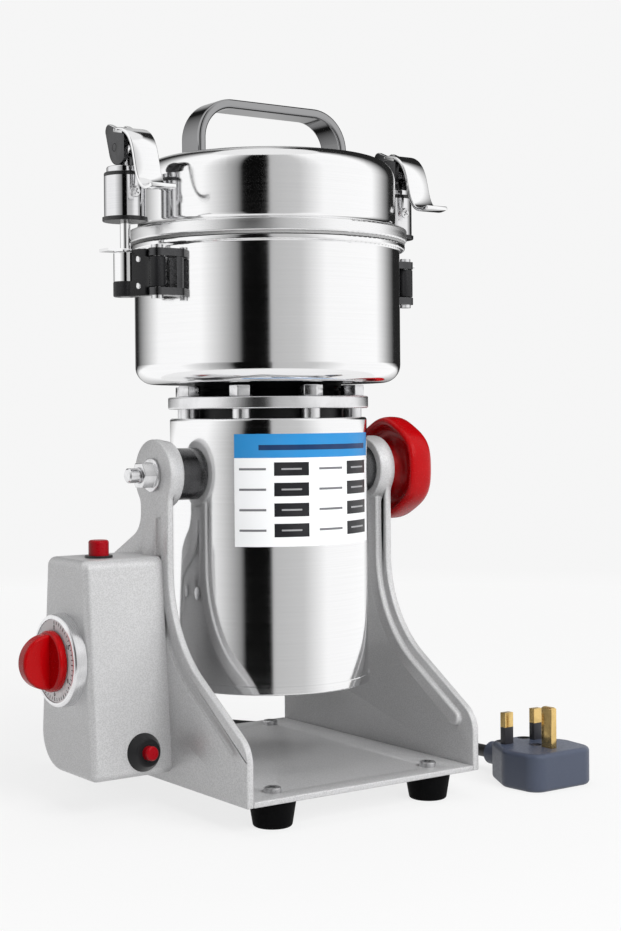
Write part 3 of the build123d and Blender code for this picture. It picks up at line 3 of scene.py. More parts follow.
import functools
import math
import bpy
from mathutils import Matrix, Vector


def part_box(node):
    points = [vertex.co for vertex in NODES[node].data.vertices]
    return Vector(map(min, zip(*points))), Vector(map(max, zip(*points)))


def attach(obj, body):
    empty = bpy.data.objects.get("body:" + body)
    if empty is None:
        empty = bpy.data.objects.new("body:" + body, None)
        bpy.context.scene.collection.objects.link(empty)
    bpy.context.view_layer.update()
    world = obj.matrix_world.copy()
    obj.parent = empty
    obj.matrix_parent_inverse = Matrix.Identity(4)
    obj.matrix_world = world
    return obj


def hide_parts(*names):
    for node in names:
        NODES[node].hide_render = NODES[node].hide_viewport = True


bl_info = {
    "name": "Powder Grinder Looks",
    "version": (1, 0, 0),
    "blender": (4, 5, 0),
    "location": "View3D > Sidebar > Grinder",
    "description": "Finishes, cord, label and small trim of a tilting powder grinder",
    "category": "Object",
}

import bmesh
import bpy
from mathutils import Matrix, Quaternion, Vector

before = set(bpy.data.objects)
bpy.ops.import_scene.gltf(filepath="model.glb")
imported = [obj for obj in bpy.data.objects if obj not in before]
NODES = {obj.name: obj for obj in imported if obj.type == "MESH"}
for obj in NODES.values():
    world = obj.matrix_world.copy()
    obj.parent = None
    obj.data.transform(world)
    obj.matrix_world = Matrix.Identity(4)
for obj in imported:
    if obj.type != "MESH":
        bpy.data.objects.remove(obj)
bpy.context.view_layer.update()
MM = 0.001
FACING = 0.9
SIDES = (("left", -1), ("right", 1))
FINISHES = {}


# Selection, placing and copying


def deselect():
    """Leave edit mode and drop the selection."""
    if bpy.context.object and bpy.context.object.mode != "OBJECT":
        leave()
    bpy.ops.object.select_all(action="DESELECT")


def make_active(piece):
    """Select one piece alone."""
    deselect()
    piece.select_set(True)
    bpy.context.view_layer.objects.active = piece


def apply_modifiers(piece):
    """Turn every modifier of a piece into mesh."""
    make_active(piece)
    for modifier in list(piece.modifiers):
        bpy.ops.object.modifier_apply(modifier=modifier.name)


def fix_place():
    """Put the active piece's place, turn and scale into its mesh."""
    bpy.ops.object.transform_apply(location=True, rotation=True, scale=True)


def edit(piece):
    """Enter edit mode and give the mesh there."""
    bpy.ops.object.mode_set(mode="EDIT")
    return bmesh.from_edit_mesh(piece.data)


def leave():
    """Go back to object mode."""
    bpy.ops.object.mode_set(mode="OBJECT")


def select_all():
    """Select the whole mesh in edit mode."""
    bpy.ops.mesh.select_all(action="SELECT")


def add_object(name, data):
    """New object in the scene."""
    piece = bpy.data.objects.new(name, data)
    bpy.context.scene.collection.objects.link(piece)
    return piece


def block(size, place=(0, 0, 0)):
    """Box of a size at a place."""
    deselect()
    bpy.ops.mesh.primitive_cube_add(size=1.0, location=place)
    bpy.context.object.scale = size
    fix_place()
    return bpy.context.object


def tube(facets, radius, bottom, top):
    """Open cylinder round the motor axis."""
    deselect()
    bpy.ops.mesh.primitive_cylinder_add(
        vertices=facets, radius=radius, depth=top - bottom, end_fill_type="NOTHING",
        location=(0, 0, (top + bottom) / 2),
    )
    fix_place()
    return bpy.context.object


def smooth_line(name, points, order, steps):
    """Smooth curve along control points."""
    line = bpy.data.curves.new(name, "CURVE")
    line.dimensions = "3D"
    spline = line.splines.new("NURBS")
    spline.points.add(len(points) - 1)
    for point, place in zip(spline.points, points):
        point.co = (*place, 1.0)
    spline.order_u = order
    spline.use_endpoint_u = True
    spline.resolution_u = steps
    return add_object(name, line)


def thicken(piece, thickness, offset):
    """Give a sheet its thickness: inward at -1, both ways at 0, outward at 1."""
    wall = piece.modifiers.new("Wall", "SOLIDIFY")
    wall.thickness = thickness
    wall.offset = offset
    apply_modifiers(piece)


def round_edges(piece, width, angle, clamp):
    """Bevel every edge sharper than an angle."""
    rounding = piece.modifiers.new("Rounding", "BEVEL")
    rounding.width = width
    rounding.segments = 2
    rounding.limit_method = "ANGLE"
    rounding.angle_limit = math.radians(angle)
    rounding.use_clamp_overlap = clamp
    apply_modifiers(piece)


def settle(piece, name, body, finish):
    """Fix a piece's place, name it, dress it and let it ride on a body."""
    smooth = 35
    make_active(piece)
    fix_place()
    bpy.ops.object.shade_smooth_by_angle(angle=math.radians(smooth))
    piece.name = name
    piece.data.name = name
    piece.data.materials.clear()
    piece.data.materials.append(FINISHES[finish])
    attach(piece, body)
    return piece


def copy_of(piece, matrix):
    """A moved copy with a mesh of its own."""
    twin = add_object(piece.name, piece.data.copy())
    twin.data.transform(matrix)
    return twin


def join(pieces):
    """Join several pieces into the first."""
    deselect()
    for piece in pieces:
        piece.select_set(True)
    bpy.context.view_layer.objects.active = pieces[0]
    bpy.ops.object.join()
    return pieces[0]


def pick(mesh, choose):
    """Select the faces of the mesh in edit mode whose centre passes a test."""
    for face in mesh.faces:
        face.select = bool(choose(face))
    mesh.select_flush_mode()


def softened(node, width):
    """Copy of a CAD node with its sharp edges rounded."""
    merge, flat = 0.000002, 0.4
    piece = add_object(f"{node}_edged", NODES[node].data.copy())
    make_active(piece)
    edit(piece)
    select_all()
    bpy.ops.mesh.remove_doubles(threshold=merge)
    bpy.ops.mesh.dissolve_limited(angle_limit=math.radians(flat))
    leave()
    round_edges(piece, width, angle=38, clamp=False)
    return piece


# Shader building


def shade(colour, factor=1.0):
    """Darker or lighter version of a colour, with full alpha."""
    return (colour[0] * factor, colour[1] * factor, colour[2] * factor, 1.0)


def grey(level):
    """Neutral colour with full alpha."""
    return (level, level, level, 1.0)


class Nodes:
    """Shader nodes of one tree. Values may be sockets, which are linked, or plain."""

    def __init__(self, tree):
        self.tree = tree

    def feed(self, socket, value):
        """Link a socket or set a plain value."""
        if isinstance(value, bpy.types.NodeSocket):
            self.tree.links.new(value, socket)
        else:
            socket.default_value = value

    def put(self, kind, inputs=None, **fields):
        """Add a node, set its fields and feed its inputs."""
        node = self.tree.nodes.new(kind)
        for key, value in fields.items():
            setattr(node, key, value)
        for key, value in (inputs or {}).items():
            self.feed(node.inputs[key], value)
        return node

    def maths(self, operation, *values):
        """Math node."""
        return self.put("ShaderNodeMath", dict(enumerate(values)), operation=operation).outputs[0]

    def both(self, first, second):
        """Product of two masks or values."""
        return self.maths("MULTIPLY", first, second)

    def either(self, first, second):
        """Greater of two masks."""
        return self.maths("MAXIMUM", first, second)

    def below(self, value, limit):
        """Mask that is one under a limit."""
        return self.maths("LESS_THAN", value, limit)

    def above(self, value, limit):
        """Mask that is one over a limit."""
        return self.maths("GREATER_THAN", value, limit)

    def between(self, value, low, high):
        """Mask that is one where a value lies between two limits."""
        return self.both(self.above(value, low), self.below(value, high))

    def mix(self, factor, low, high):
        """Mix of two colours."""
        return self.put("ShaderNodeMix", {0: factor, 6: low, 7: high}, data_type="RGBA").outputs[2]

    def remap(self, value, low, high, to_low=0.0, to_high=1.0):
        """Clamped Map Range."""
        given = dict(enumerate((value, low, high, to_low, to_high)))
        return self.put("ShaderNodeMapRange", given).outputs[0]

    def spread(self, value, low, high):
        """Range of roughness from a noise."""
        return self.remap(value, 0.3, 0.7, low, high)

    def noise(self, vector, scale, detail):
        """Noise texture."""
        given = {"Vector": vector, "Scale": scale, "Detail": detail}
        return self.put("ShaderNodeTexNoise", given).outputs[0]

    def seen_by(self, *rays):
        """Mask that is one for the named kinds of ray."""
        path = self.tree.nodes.new("ShaderNodeLightPath").outputs
        mask = path[rays[0]]
        for ray in rays[1:]:
            mask = self.either(mask, path[ray])
        return mask


def new_group(name, control, results):
    """Shader node group with a place, one control and its results."""
    group = bpy.data.node_groups.new(name, "ShaderNodeTree")
    sockets = group.interface
    sockets.new_socket(name="Vector", in_out="INPUT", socket_type="NodeSocketVector")
    sockets.new_socket(name=control, in_out="INPUT", socket_type="NodeSocketFloat")
    for label in results:
        sockets.new_socket(name=label, in_out="OUTPUT", socket_type="NodeSocketFloat")
    place, value = group.nodes.new("NodeGroupInput").outputs[:2]
    return Nodes(group), place, value, group.nodes.new("NodeGroupOutput").inputs


@functools.cache
def grain():
    """Fine speckle and height of sand-textured paint or moulded skin."""
    group, place, scale, made = new_group("Grain Speckle", "Scale", ("Height", "Speckle", "Cloud"))
    dots = group.put("ShaderNodeTexVoronoi", {"Vector": place, "Scale": scale}).outputs[0]
    group.feed(made[0], group.noise(place, scale, 3.0))
    group.feed(made[1], group.remap(dots, 0.1, 0.7))
    group.feed(made[2], group.remap(group.noise(place, 28.0, 4.0), 0.35, 0.65))
    return group.tree


@functools.cache
def polish():
    """Fine polishing lines round an upright axis, with soft smudges."""
    group, place, scale, made = new_group("Polish Lines", "Lines", ("Lines", "Smudge"))
    given = {0: place, 1: (0.012, 0.012, 1.0)}
    squeezed = group.put("ShaderNodeVectorMath", given, operation="MULTIPLY").outputs[0]
    group.feed(made[0], group.noise(squeezed, scale, 4.0))
    group.feed(made[1], group.remap(group.noise(place, 17.0, 5.0), 0.4, 0.7))
    return group.tree


@functools.cache
def wear():
    """Patches of handling wear and dust."""
    group, place, scale, made = new_group("Handling Wear", "Scale", ("Wear", "Fine"))
    group.feed(made[0], group.remap(group.noise(place, scale, 6.0), 0.45, 0.72))
    group.feed(made[1], group.noise(place, group.both(scale, 14.0), 3.0))
    return group.tree


class Finish(Nodes):
    """Material with its Principled shader and Object coordinates."""

    def __init__(self, name, metallic=0.0):
        self.material = bpy.data.materials.new(name)
        self.material.use_nodes = True
        super().__init__(self.material.node_tree)
        self.shader = self.tree.nodes["Principled BSDF"]
        self.place = self.tree.nodes.new("ShaderNodeTexCoord").outputs["Object"]
        self.give("Metallic", metallic)

    def give(self, label, value):
        """Feed one input of the shader."""
        self.feed(self.shader.inputs[label], value)

    def dress(self, colour, rough):
        """Feed the shader's colour and roughness."""
        self.give("Base Color", colour)
        self.give("Roughness", rough)

    def bump(self, height, strength, distance):
        """Bump from a height."""
        given = {"Height": height, "Strength": strength, "Distance": distance}
        self.give("Normal", self.put("ShaderNodeBump", given).outputs[0])

    def effect(self, group, scale):
        """Place a shared effect and give its results."""
        return self.put("ShaderNodeGroup", {0: self.place, 1: scale}, node_tree=group()).outputs

    def axes(self):
        """X, Y and Z of the place."""
        return self.put("ShaderNodeSeparateXYZ", {0: self.place}).outputs

    def show(self, node):
        """Let another shader node be the surface."""
        self.feed(self.tree.nodes["Material Output"].inputs["Surface"], node.outputs[0])


def sand_paint(colour):
    """Silver sand paint: metal flake speckle over a fine rough skin."""
    look = Finish("silver_sand_paint", 0.36)
    height, speckle, cloud = look.effect(grain, 1350.0)
    flecked = look.mix(speckle, shade(colour, 0.82), shade(colour, 1.09))
    clouded = look.mix(look.both(cloud, 0.22), flecked, shade(colour, 0.88))
    look.dress(clouded, look.spread(height, 0.30, 0.46))
    look.bump(height, 0.22, 0.00025)
    return look.material


def polished_steel(name, colour, rough, lines, line_bump):
    """Polished sheet with hair lines round the motor axis."""
    look = Finish(name, 1.0)
    hair, smudge = look.effect(polish, lines)
    tint = look.mix(hair, shade(colour, 0.95), shade(colour, 1.03))
    streak = look.spread(hair, rough * 0.75, rough * 1.25)
    look.dress(tint, look.maths("MULTIPLY_ADD", smudge, rough * 0.5, streak))
    look.bump(hair, line_bump, 0.00005)
    return look.material


def plated_steel(name, colour, rough):
    """Bright plated hardware with faint handling marks."""
    look = Finish(name, 1.0)
    worn, fine = look.effect(wear, 120.0)
    tint = look.mix(worn, shade(colour), shade(colour, 0.78))
    look.dress(tint, look.spread(fine, rough * 0.8, rough * 1.5))
    look.bump(fine, 0.06, 0.0001)
    return look.material


def turned_alloy(colour):
    """Turned aluminium with rings round the axis and a cast tone."""
    look = Finish("turned_alloy", 1.0)
    east, north, _ = look.axes()
    squares = look.maths("ADD", look.maths("POWER", east, 2.0), look.maths("POWER", north, 2.0))
    given = {"W": look.maths("SQRT", squares), "Scale": 2600.0, "Detail": 2.0}
    rings = look.put("ShaderNodeTexNoise", given, noise_dimensions="1D").outputs[0]
    worn, _ = look.effect(wear, 70.0)
    tint = look.mix(worn, shade(colour), shade(colour, 0.8))
    look.dress(tint, look.spread(rings, 0.2, 0.38))
    look.bump(rings, 0.12, 0.0001)
    return look.material


def moulding(name, colour, rough, grain_scale, relief, coat=0.0, gloss=0.5):
    """Moulded plastic or rubber: fine skin grain, soft wear and optional gloss."""
    look = Finish(name)
    height, _, cloud = look.effect(grain, grain_scale)
    worn, fine = look.effect(wear, 55.0)
    tint = look.mix(worn, shade(colour), shade(colour, 1.08))
    darker = look.mix(look.both(cloud, 0.3), tint, shade(colour, 0.85))
    look.dress(darker, look.spread(fine, rough * 0.85, rough * 1.2))
    look.give("Specular IOR Level", gloss)
    look.give("Coat Weight", coat)
    look.give("Coat Roughness", 0.06)
    look.bump(height, relief, 0.00015)
    return look.material


def laminations(colour):
    """Stacked iron sheets with dark gaps between them."""
    look = Finish("iron_laminations", 0.8)
    sheet = look.maths("FRACT", look.both(look.axes()[2], 1600.0))
    tint = look.mix(look.below(sheet, 0.25), shade(colour), shade(colour, 0.35))
    _, fine = look.effect(wear, 80.0)
    look.dress(tint, look.spread(fine, 0.4, 0.6))
    look.bump(sheet, 0.2, 0.0002)
    return look.material


def copper_wire(colour):
    """Wound enamelled copper, darker in the grooves between turns as painted shade."""
    look = Finish("copper_winding", 0.9)
    given = {"Vector": look.place, "Scale": 420.0, "Distortion": 2.0}
    wave = look.put("ShaderNodeTexWave", given, bands_direction="Z").outputs[1]
    # Darker copper in the grooves of the wave is painted shade.
    tint = look.mix(wave, shade(colour, 0.45), shade(colour))
    look.dress(tint, look.remap(wave, 0.0, 1.0, 0.5, 0.28))
    look.bump(wave, 0.4, 0.0003)
    return look.material


def label_print(sizes, colours):
    """Rating label: blue head band, white field, black tags and plain rules."""
    look = Finish("rating_label_print")
    east, north, height = look.axes()
    turn = look.maths("ARCTAN2", east, look.both(north, -1.0))
    degrees = look.both(turn, 180.0 / math.pi)
    foot = sizes.bottom + 0.0032
    row = look.maths("DIVIDE", look.maths("SUBTRACT", height, foot), sizes.row)
    middle = look.maths("ABSOLUTE", look.maths("SUBTRACT", look.maths("FRACT", row), 0.5))
    field = look.between(height, foot, foot + 4 * sizes.row)
    inked = shade(colours.label_white)
    for left, right, half, ink in (
        ((-51.0, -36.0), (-5.5, 11.0), 0.055, (0.16, 0.16, 0.17, 1.0)),
        ((-31.6, -11.8), (15.0, 37.5), 0.33, (0.012, 0.012, 0.014, 1.0)),
        ((-27.5, -16.0), (19.0, 33.5), 0.04, (0.34, 0.34, 0.35, 1.0)),
    ):
        columns = look.either(look.between(degrees, *left), look.between(degrees, *right))
        marks = look.both(columns, look.below(middle, half))
        inked = look.mix(look.both(marks, field), inked, ink)
    stripe = look.between(height, sizes.top - 0.0086, sizes.top - 0.0058)
    stripe = look.both(stripe, look.between(degrees, -40.0, 36.0))
    head = look.mix(stripe, shade(colours.label_blue), (0.006, 0.03, 0.10, 1.0))
    printed = look.mix(look.above(height, sizes.top - sizes.band), inked, head)
    worn, fine = look.effect(wear, 40.0)
    dulled = look.mix(look.both(worn, 0.03), printed, grey(0.6))
    look.dress(dulled, look.spread(fine, 0.32, 0.42))
    look.give("Specular IOR Level", 0.25)
    return look.material


def pin_brass(colours):
    """Brass plug pins, with dark sleeves on the feet of the two flat-on pins."""
    look = Finish("plug_pin_brass")
    _, north, height = look.axes()
    low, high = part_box("plug_pins")
    sleeve = 0.0095
    sleeved = look.below(height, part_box("plug_body")[1].z + sleeve)
    mask = look.both(sleeved, look.above(north, (low.y + high.y) / 2))
    worn, fine = look.effect(wear, 150.0)
    bright = look.mix(worn, shade(colours.brass), shade(colours.brass, 0.72))
    rough = look.maths("MULTIPLY_ADD", mask, 0.25, look.spread(fine, 0.16, 0.3))
    look.dress(look.mix(mask, bright, (0.02, 0.02, 0.024, 1.0)), rough)
    look.give("Metallic", look.maths("SUBTRACT", 1.0, mask))
    look.bump(fine, 0.05, 0.0001)
    return look.material


def foot_screw_steel(colours):
    """Plated pan heads with a cross recess, bumped in and coloured near-black as painted shade, at the
    four foot places.
    """
    look = Finish("foot_screw_steel", 1.0)
    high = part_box("foot_screws")[1]
    head_radius, slot, reach = 0.0045, 0.0006, 0.0026
    off = []
    for part, far in zip(look.axes(), (high.x, high.y)):
        side = look.maths("SUBTRACT", look.maths("ABSOLUTE", part), far - head_radius)
        off.append(look.maths("ABSOLUTE", side))
    bars = [
        look.both(look.below(off[one], slot), look.below(off[1 - one], reach)) for one in (0, 1)
    ]
    cross = look.either(*bars)
    worn, fine = look.effect(wear, 150.0)
    bright = look.mix(worn, shade(colours.zinc, 0.8), shade(colours.zinc, 0.55))
    # Near-black cross: painted shade in the recess; the bump below gives the recess its shape.
    look.dress(look.mix(cross, bright, grey(0.01)), look.spread(fine, 0.25, 0.4))
    look.bump(look.maths("SUBTRACT", 1.0, cross), 0.5, 0.0004)
    return look.material


def ringed_cup(colours):
    """Chromed cup with painted shade: black rings at its foot and at its collar."""
    look = Finish("chrome_cup_painted_shade_rings")
    low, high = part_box("left_clamp_cup")
    height = look.axes()[2]
    foot, collar_low, collar_high = 0.0022, 0.0052, 0.0032
    collar = look.between(height, high.z - collar_low, high.z - collar_high)
    rings = look.either(look.below(height, low.z + foot), collar)
    hair, _ = look.effect(polish, 1800.0)
    bright = look.mix(hair, shade(colours.chrome, 1.15), shade(colours.chrome, 1.35))
    rough = look.maths("MULTIPLY_ADD", rings, 0.2, look.spread(hair, 0.05, 0.1))
    # Black, non-metal rings are painted shade at the cup's foot and at its collar.
    look.dress(look.mix(rings, bright, shade(colours.black)), rough)
    look.give("Metallic", look.maths("SUBTRACT", 1.0, rings))
    look.bump(hair, 0.04, 0.00005)
    return look.material


# Settings a user would change


def colour_setting(name, words, default):
    """Colour property with its default."""
    return bpy.props.FloatVectorProperty(
        name=name, description=words, subtype="COLOR", size=3, min=0.0, max=1.0, default=default
    )


def length_setting(name, words, default):
    """Length property in metres."""
    return bpy.props.FloatProperty(
        name=name, description=words, unit="LENGTH", subtype="DISTANCE", default=default, precision=4
    )


def angle_setting(name, words, degrees):
    """Angle property with its default in degrees."""
    return bpy.props.FloatProperty(
        name=name, description=words, subtype="ANGLE", default=math.radians(degrees)
    )


class GrinderColours(bpy.types.PropertyGroup):
    """Colours of the grinder's finishes."""

    sand: colour_setting("Sand paint", "Silver sand paint of stand and box", (0.56, 0.56, 0.565))
    steel: colour_setting("Polished steel", "Polished motor can, pot and lid", (0.885, 0.885, 0.89))
    chrome: colour_setting("Dark chrome", "Lid handle and clamp cups", (0.60, 0.60, 0.61))
    silicone: colour_setting("Silicone", "Seal between lid and pot", (0.30, 0.30, 0.30))
    zinc: colour_setting("Plated steel", "Bright plated fasteners and pins", (0.74, 0.74, 0.75))
    alloy: colour_setting("Alloy", "Turned neck ring and timer bezel", (0.80, 0.80, 0.81))
    red: colour_setting("Red plastic", "Lock knob and timer knob", (0.38, 0.0004, 0.002))
    button_red: colour_setting("Button red", "Start and reset buttons", (0.30, 0.001, 0.006))
    black: colour_setting("Black plastic", "Breaker bezel and other mouldings", (0.012, 0.012, 0.013))
    rubber: colour_setting("Rubber", "Feet, gaskets and strain relief", (0.003, 0.003, 0.0033))
    label_blue: colour_setting("Label band", "Head band of the rating label", (0.024, 0.235, 0.54))
    label_white: colour_setting("Label field", "Field of the rating label", (0.86, 0.87, 0.88))
    plug: colour_setting("Plug", "Dark blue-grey plug moulding", (0.052, 0.064, 0.098))
    brass: colour_setting("Brass", "Plug pins and screws", (0.78, 0.55, 0.22))
    iron: colour_setting("Iron", "Laminated cores", (0.22, 0.22, 0.23))
    # Darker steel tone is painted shade on parts in shade: lever cheeks, clamp brackets and trunnion
    # pads.
    gunmetal: colour_setting(
        "Gunmetal", "Cam cheeks of the levers, brackets and trunnion pads", (0.085, 0.085, 0.088)
    )
    copper: colour_setting("Copper", "Windings and commutator", (0.72, 0.36, 0.18))


class GrinderLabel(bpy.types.PropertyGroup):
    """Sizes of the rating label on the motor can."""

    bottom: length_setting("Lower edge", "Height of the label's lower edge", 0.1380)
    top: length_setting("Upper edge", "Height of the label's upper edge", 0.1976)
    band: length_setting("Head band", "Height of the coloured head band", 0.0127)
    row: length_setting("Row pitch", "Distance between rows of tags", 0.0108)
    start: angle_setting("Left end", "Angle of the left end from the front", -53.5)
    end: angle_setting("Right end", "Angle of the right end from the front", 41.5)


class GrinderCord(bpy.types.PropertyGroup):
    """Sizes of the mains cord."""

    diameter: length_setting("Diameter", "Outer diameter of the cord", 0.007)
    coil_x: length_setting("Coil X", "Centre of the coil along X", 0.010)
    coil_y: length_setting("Coil Y", "Centre of the coil along Y", 0.180)
    coil_radius: length_setting("Coil radius", "Middle of the outer turn", 0.046)
    coil_step: length_setting("Turn pitch", "Distance between turns and layers", 0.0077)
    turns: bpy.props.IntProperty(name="Turns", description="Turns of the coil", default=4, min=2, max=8)


class GrinderStudio(bpy.types.PropertyGroup):
    """Camera and light of the studio."""

    lens: bpy.props.FloatProperty(name="Lens", description="Focal length", unit="CAMERA", default=63.3)
    distance: length_setting("Distance", "Camera distance from its aim", 0.917)
    azimuth: angle_setting("Azimuth", "Camera turn from the front", -34.5)
    pitch: angle_setting("Pitch", "Camera tilt downward", 0.48)
    roll: angle_setting("Roll", "Camera roll", -0.5)
    pale: bpy.props.FloatProperty(
        name="Backdrop", description="Brightness of floor and backdrop", default=0.92, min=0.0, max=1.0
    )


# Pieces


class GRINDER_OT_studio(bpy.types.Operator):
    """Floor, backdrop, reflector drum, lamps and camera"""

    bl_idname = "grinder.studio"
    bl_label = "Studio"

    aim = Vector((0.0, 0.0, 0.2))
    shift = (0.0453, -0.0398)
    floor_size = 14.0
    drum_radius = 0.36
    drum_height = 1.1
    panels = (
        (-180, 0.62), (-160, 0.50), (-149, 0.02), (-139, 0.02), (-116, 0.55), (-97, 1.06), (-52, 1.08),
        (-38, 0.72), (-22, 0.26), (-18.5, 0.003), (1, 0.003), (3, 0.54), (26, 0.62), (46, 1.06),
        (97, 1.10), (116, 0.36), (128, 0.02), (168, 0.02), (175, 0.50), (180, 0.62),
    )
    lights = (
        ("key_lamp", (0.1, -1.7, 1.2), 1.3, 46.0),
        ("fill_lamp", (1.5, -0.7, 0.9), 1.4, 2.0),
        ("top_lamp", (0.1, 0.3, 1.9), 1.6, 18.0),
        ("left_lamp", (-1.7, -0.3, 0.7), 1.2, 2.2),
    )

    def execute(self, context):
        studio = context.scene.grinder_studio
        self.floor(studio)
        self.world(context, studio)
        self.drum(studio)
        self.lamps()
        self.camera(context, studio)
        return {"FINISHED"}

    def floor(self, studio):
        """Pale floor that keeps a soft shadow."""
        deselect()
        bpy.ops.mesh.primitive_plane_add(size=self.floor_size)
        floor = bpy.context.object
        floor.name = "studio_floor"
        look = Finish("pale_floor")
        look.dress(grey(studio.pale * 0.66), 0.7)
        look.give("Specular IOR Level", 0.1)
        away = look.put("ShaderNodeVectorMath", {0: look.place}, operation="LENGTH").outputs["Value"]
        light = look.remap(away, 0.3, 1.3, 1.12, 1.0)
        glow = look.put("ShaderNodeEmission", {"Color": grey(studio.pale), "Strength": light})
        seen = look.seen_by("Is Camera Ray", "Is Glossy Ray")
        share = look.both(seen, look.remap(away, 0.2, 1.1, 0.76, 1.0))
        layers = {0: share, 1: look.shader.outputs[0], 2: glow.outputs[0]}
        look.show(look.put("ShaderNodeMixShader", layers))
        floor.data.materials.append(look.material)

    def world(self, context, studio):
        """White surround for the camera and for reflections, softer light for the rest."""
        world = bpy.data.worlds.new("studio_surround")
        context.scene.world = world
        world.use_nodes = True
        back = world.node_tree.nodes["Background"]
        back.inputs["Color"].default_value = grey(studio.pale)
        nodes = Nodes(world.node_tree)
        seen = nodes.seen_by("Is Camera Ray", "Is Glossy Ray", "Is Transmission Ray")
        nodes.feed(back.inputs["Strength"], nodes.remap(seen, 0.0, 1.0, 0.15, 1.0))

    def drum(self, studio):
        """Reflector drum with bright and dark panels, seen only in reflections."""
        deselect()
        bpy.ops.mesh.primitive_cylinder_add(
            vertices=96, radius=self.drum_radius, depth=self.drum_height, end_fill_type="NOTHING",
            location=(0, 0, self.drum_height / 2),
        )
        drum = bpy.context.object
        drum.name = "reflector_drum"
        look = Finish("drum_panels")
        look.tree.nodes.remove(look.shader)
        east, north, height = look.axes()
        right = (math.cos(studio.azimuth), math.sin(studio.azimuth))
        toward = (math.sin(studio.azimuth), -math.cos(studio.azimuth))
        sides = [
            look.maths("MULTIPLY_ADD", north, y, look.both(east, x)) for x, y in (right, toward)
        ]
        turn = look.maths("ARCTAN2", *sides)
        squeezed = look.both(turn, look.remap(height, -0.36, -0.31, 0.72, 1.0))
        spot = look.maths("MULTIPLY_ADD", squeezed, 0.5 / math.pi, 0.5)
        ramp = look.put("ShaderNodeValToRGB", {0: spot})
        stops = ramp.color_ramp.elements
        while len(stops) < len(self.panels):
            stops.new(0.5)
        for stop, (angle, level) in zip(stops, self.panels):
            stop.position = (angle + 180) / 360
            stop.color = grey(level)
        look.show(look.put("ShaderNodeEmission", {"Color": ramp.outputs[0]}))
        drum.data.materials.append(look.material)
        drum.visible_camera = False
        drum.visible_diffuse = False
        drum.visible_shadow = False
        drum.visible_transmission = False

    def lamps(self):
        """Large soft lamps aimed at the machine."""
        for name, spot, size, power in self.lights:
            deselect()
            bpy.ops.object.light_add(type="AREA", location=spot)
            lamp = bpy.context.object
            lamp.name = name
            lamp.data.size = size
            lamp.data.energy = power
            lamp.visible_glossy = False
            way = self.aim - Vector(spot)
            lamp.rotation_euler = way.to_track_quat("-Z", "Y").to_euler()

    def camera(self, context, studio):
        """Camera at the photograph's angle."""
        deselect()
        bpy.ops.object.camera_add()
        camera = context.object
        camera.name = "photo_camera"
        camera.data.lens = studio.lens
        camera.data.shift_x, camera.data.shift_y = self.shift
        level = math.cos(studio.pitch) * studio.distance
        place = Vector((
            math.sin(studio.azimuth) * level,
            -math.cos(studio.azimuth) * level,
            self.aim.z + math.sin(studio.pitch) * studio.distance,
        ))
        look = (self.aim - place).to_track_quat("-Z", "Y") @ Quaternion((0, 0, 1), studio.roll)
        camera.location = place
        camera.rotation_euler = look.to_euler()
        context.scene.camera = camera
        context.scene.view_settings.view_transform = "Standard"


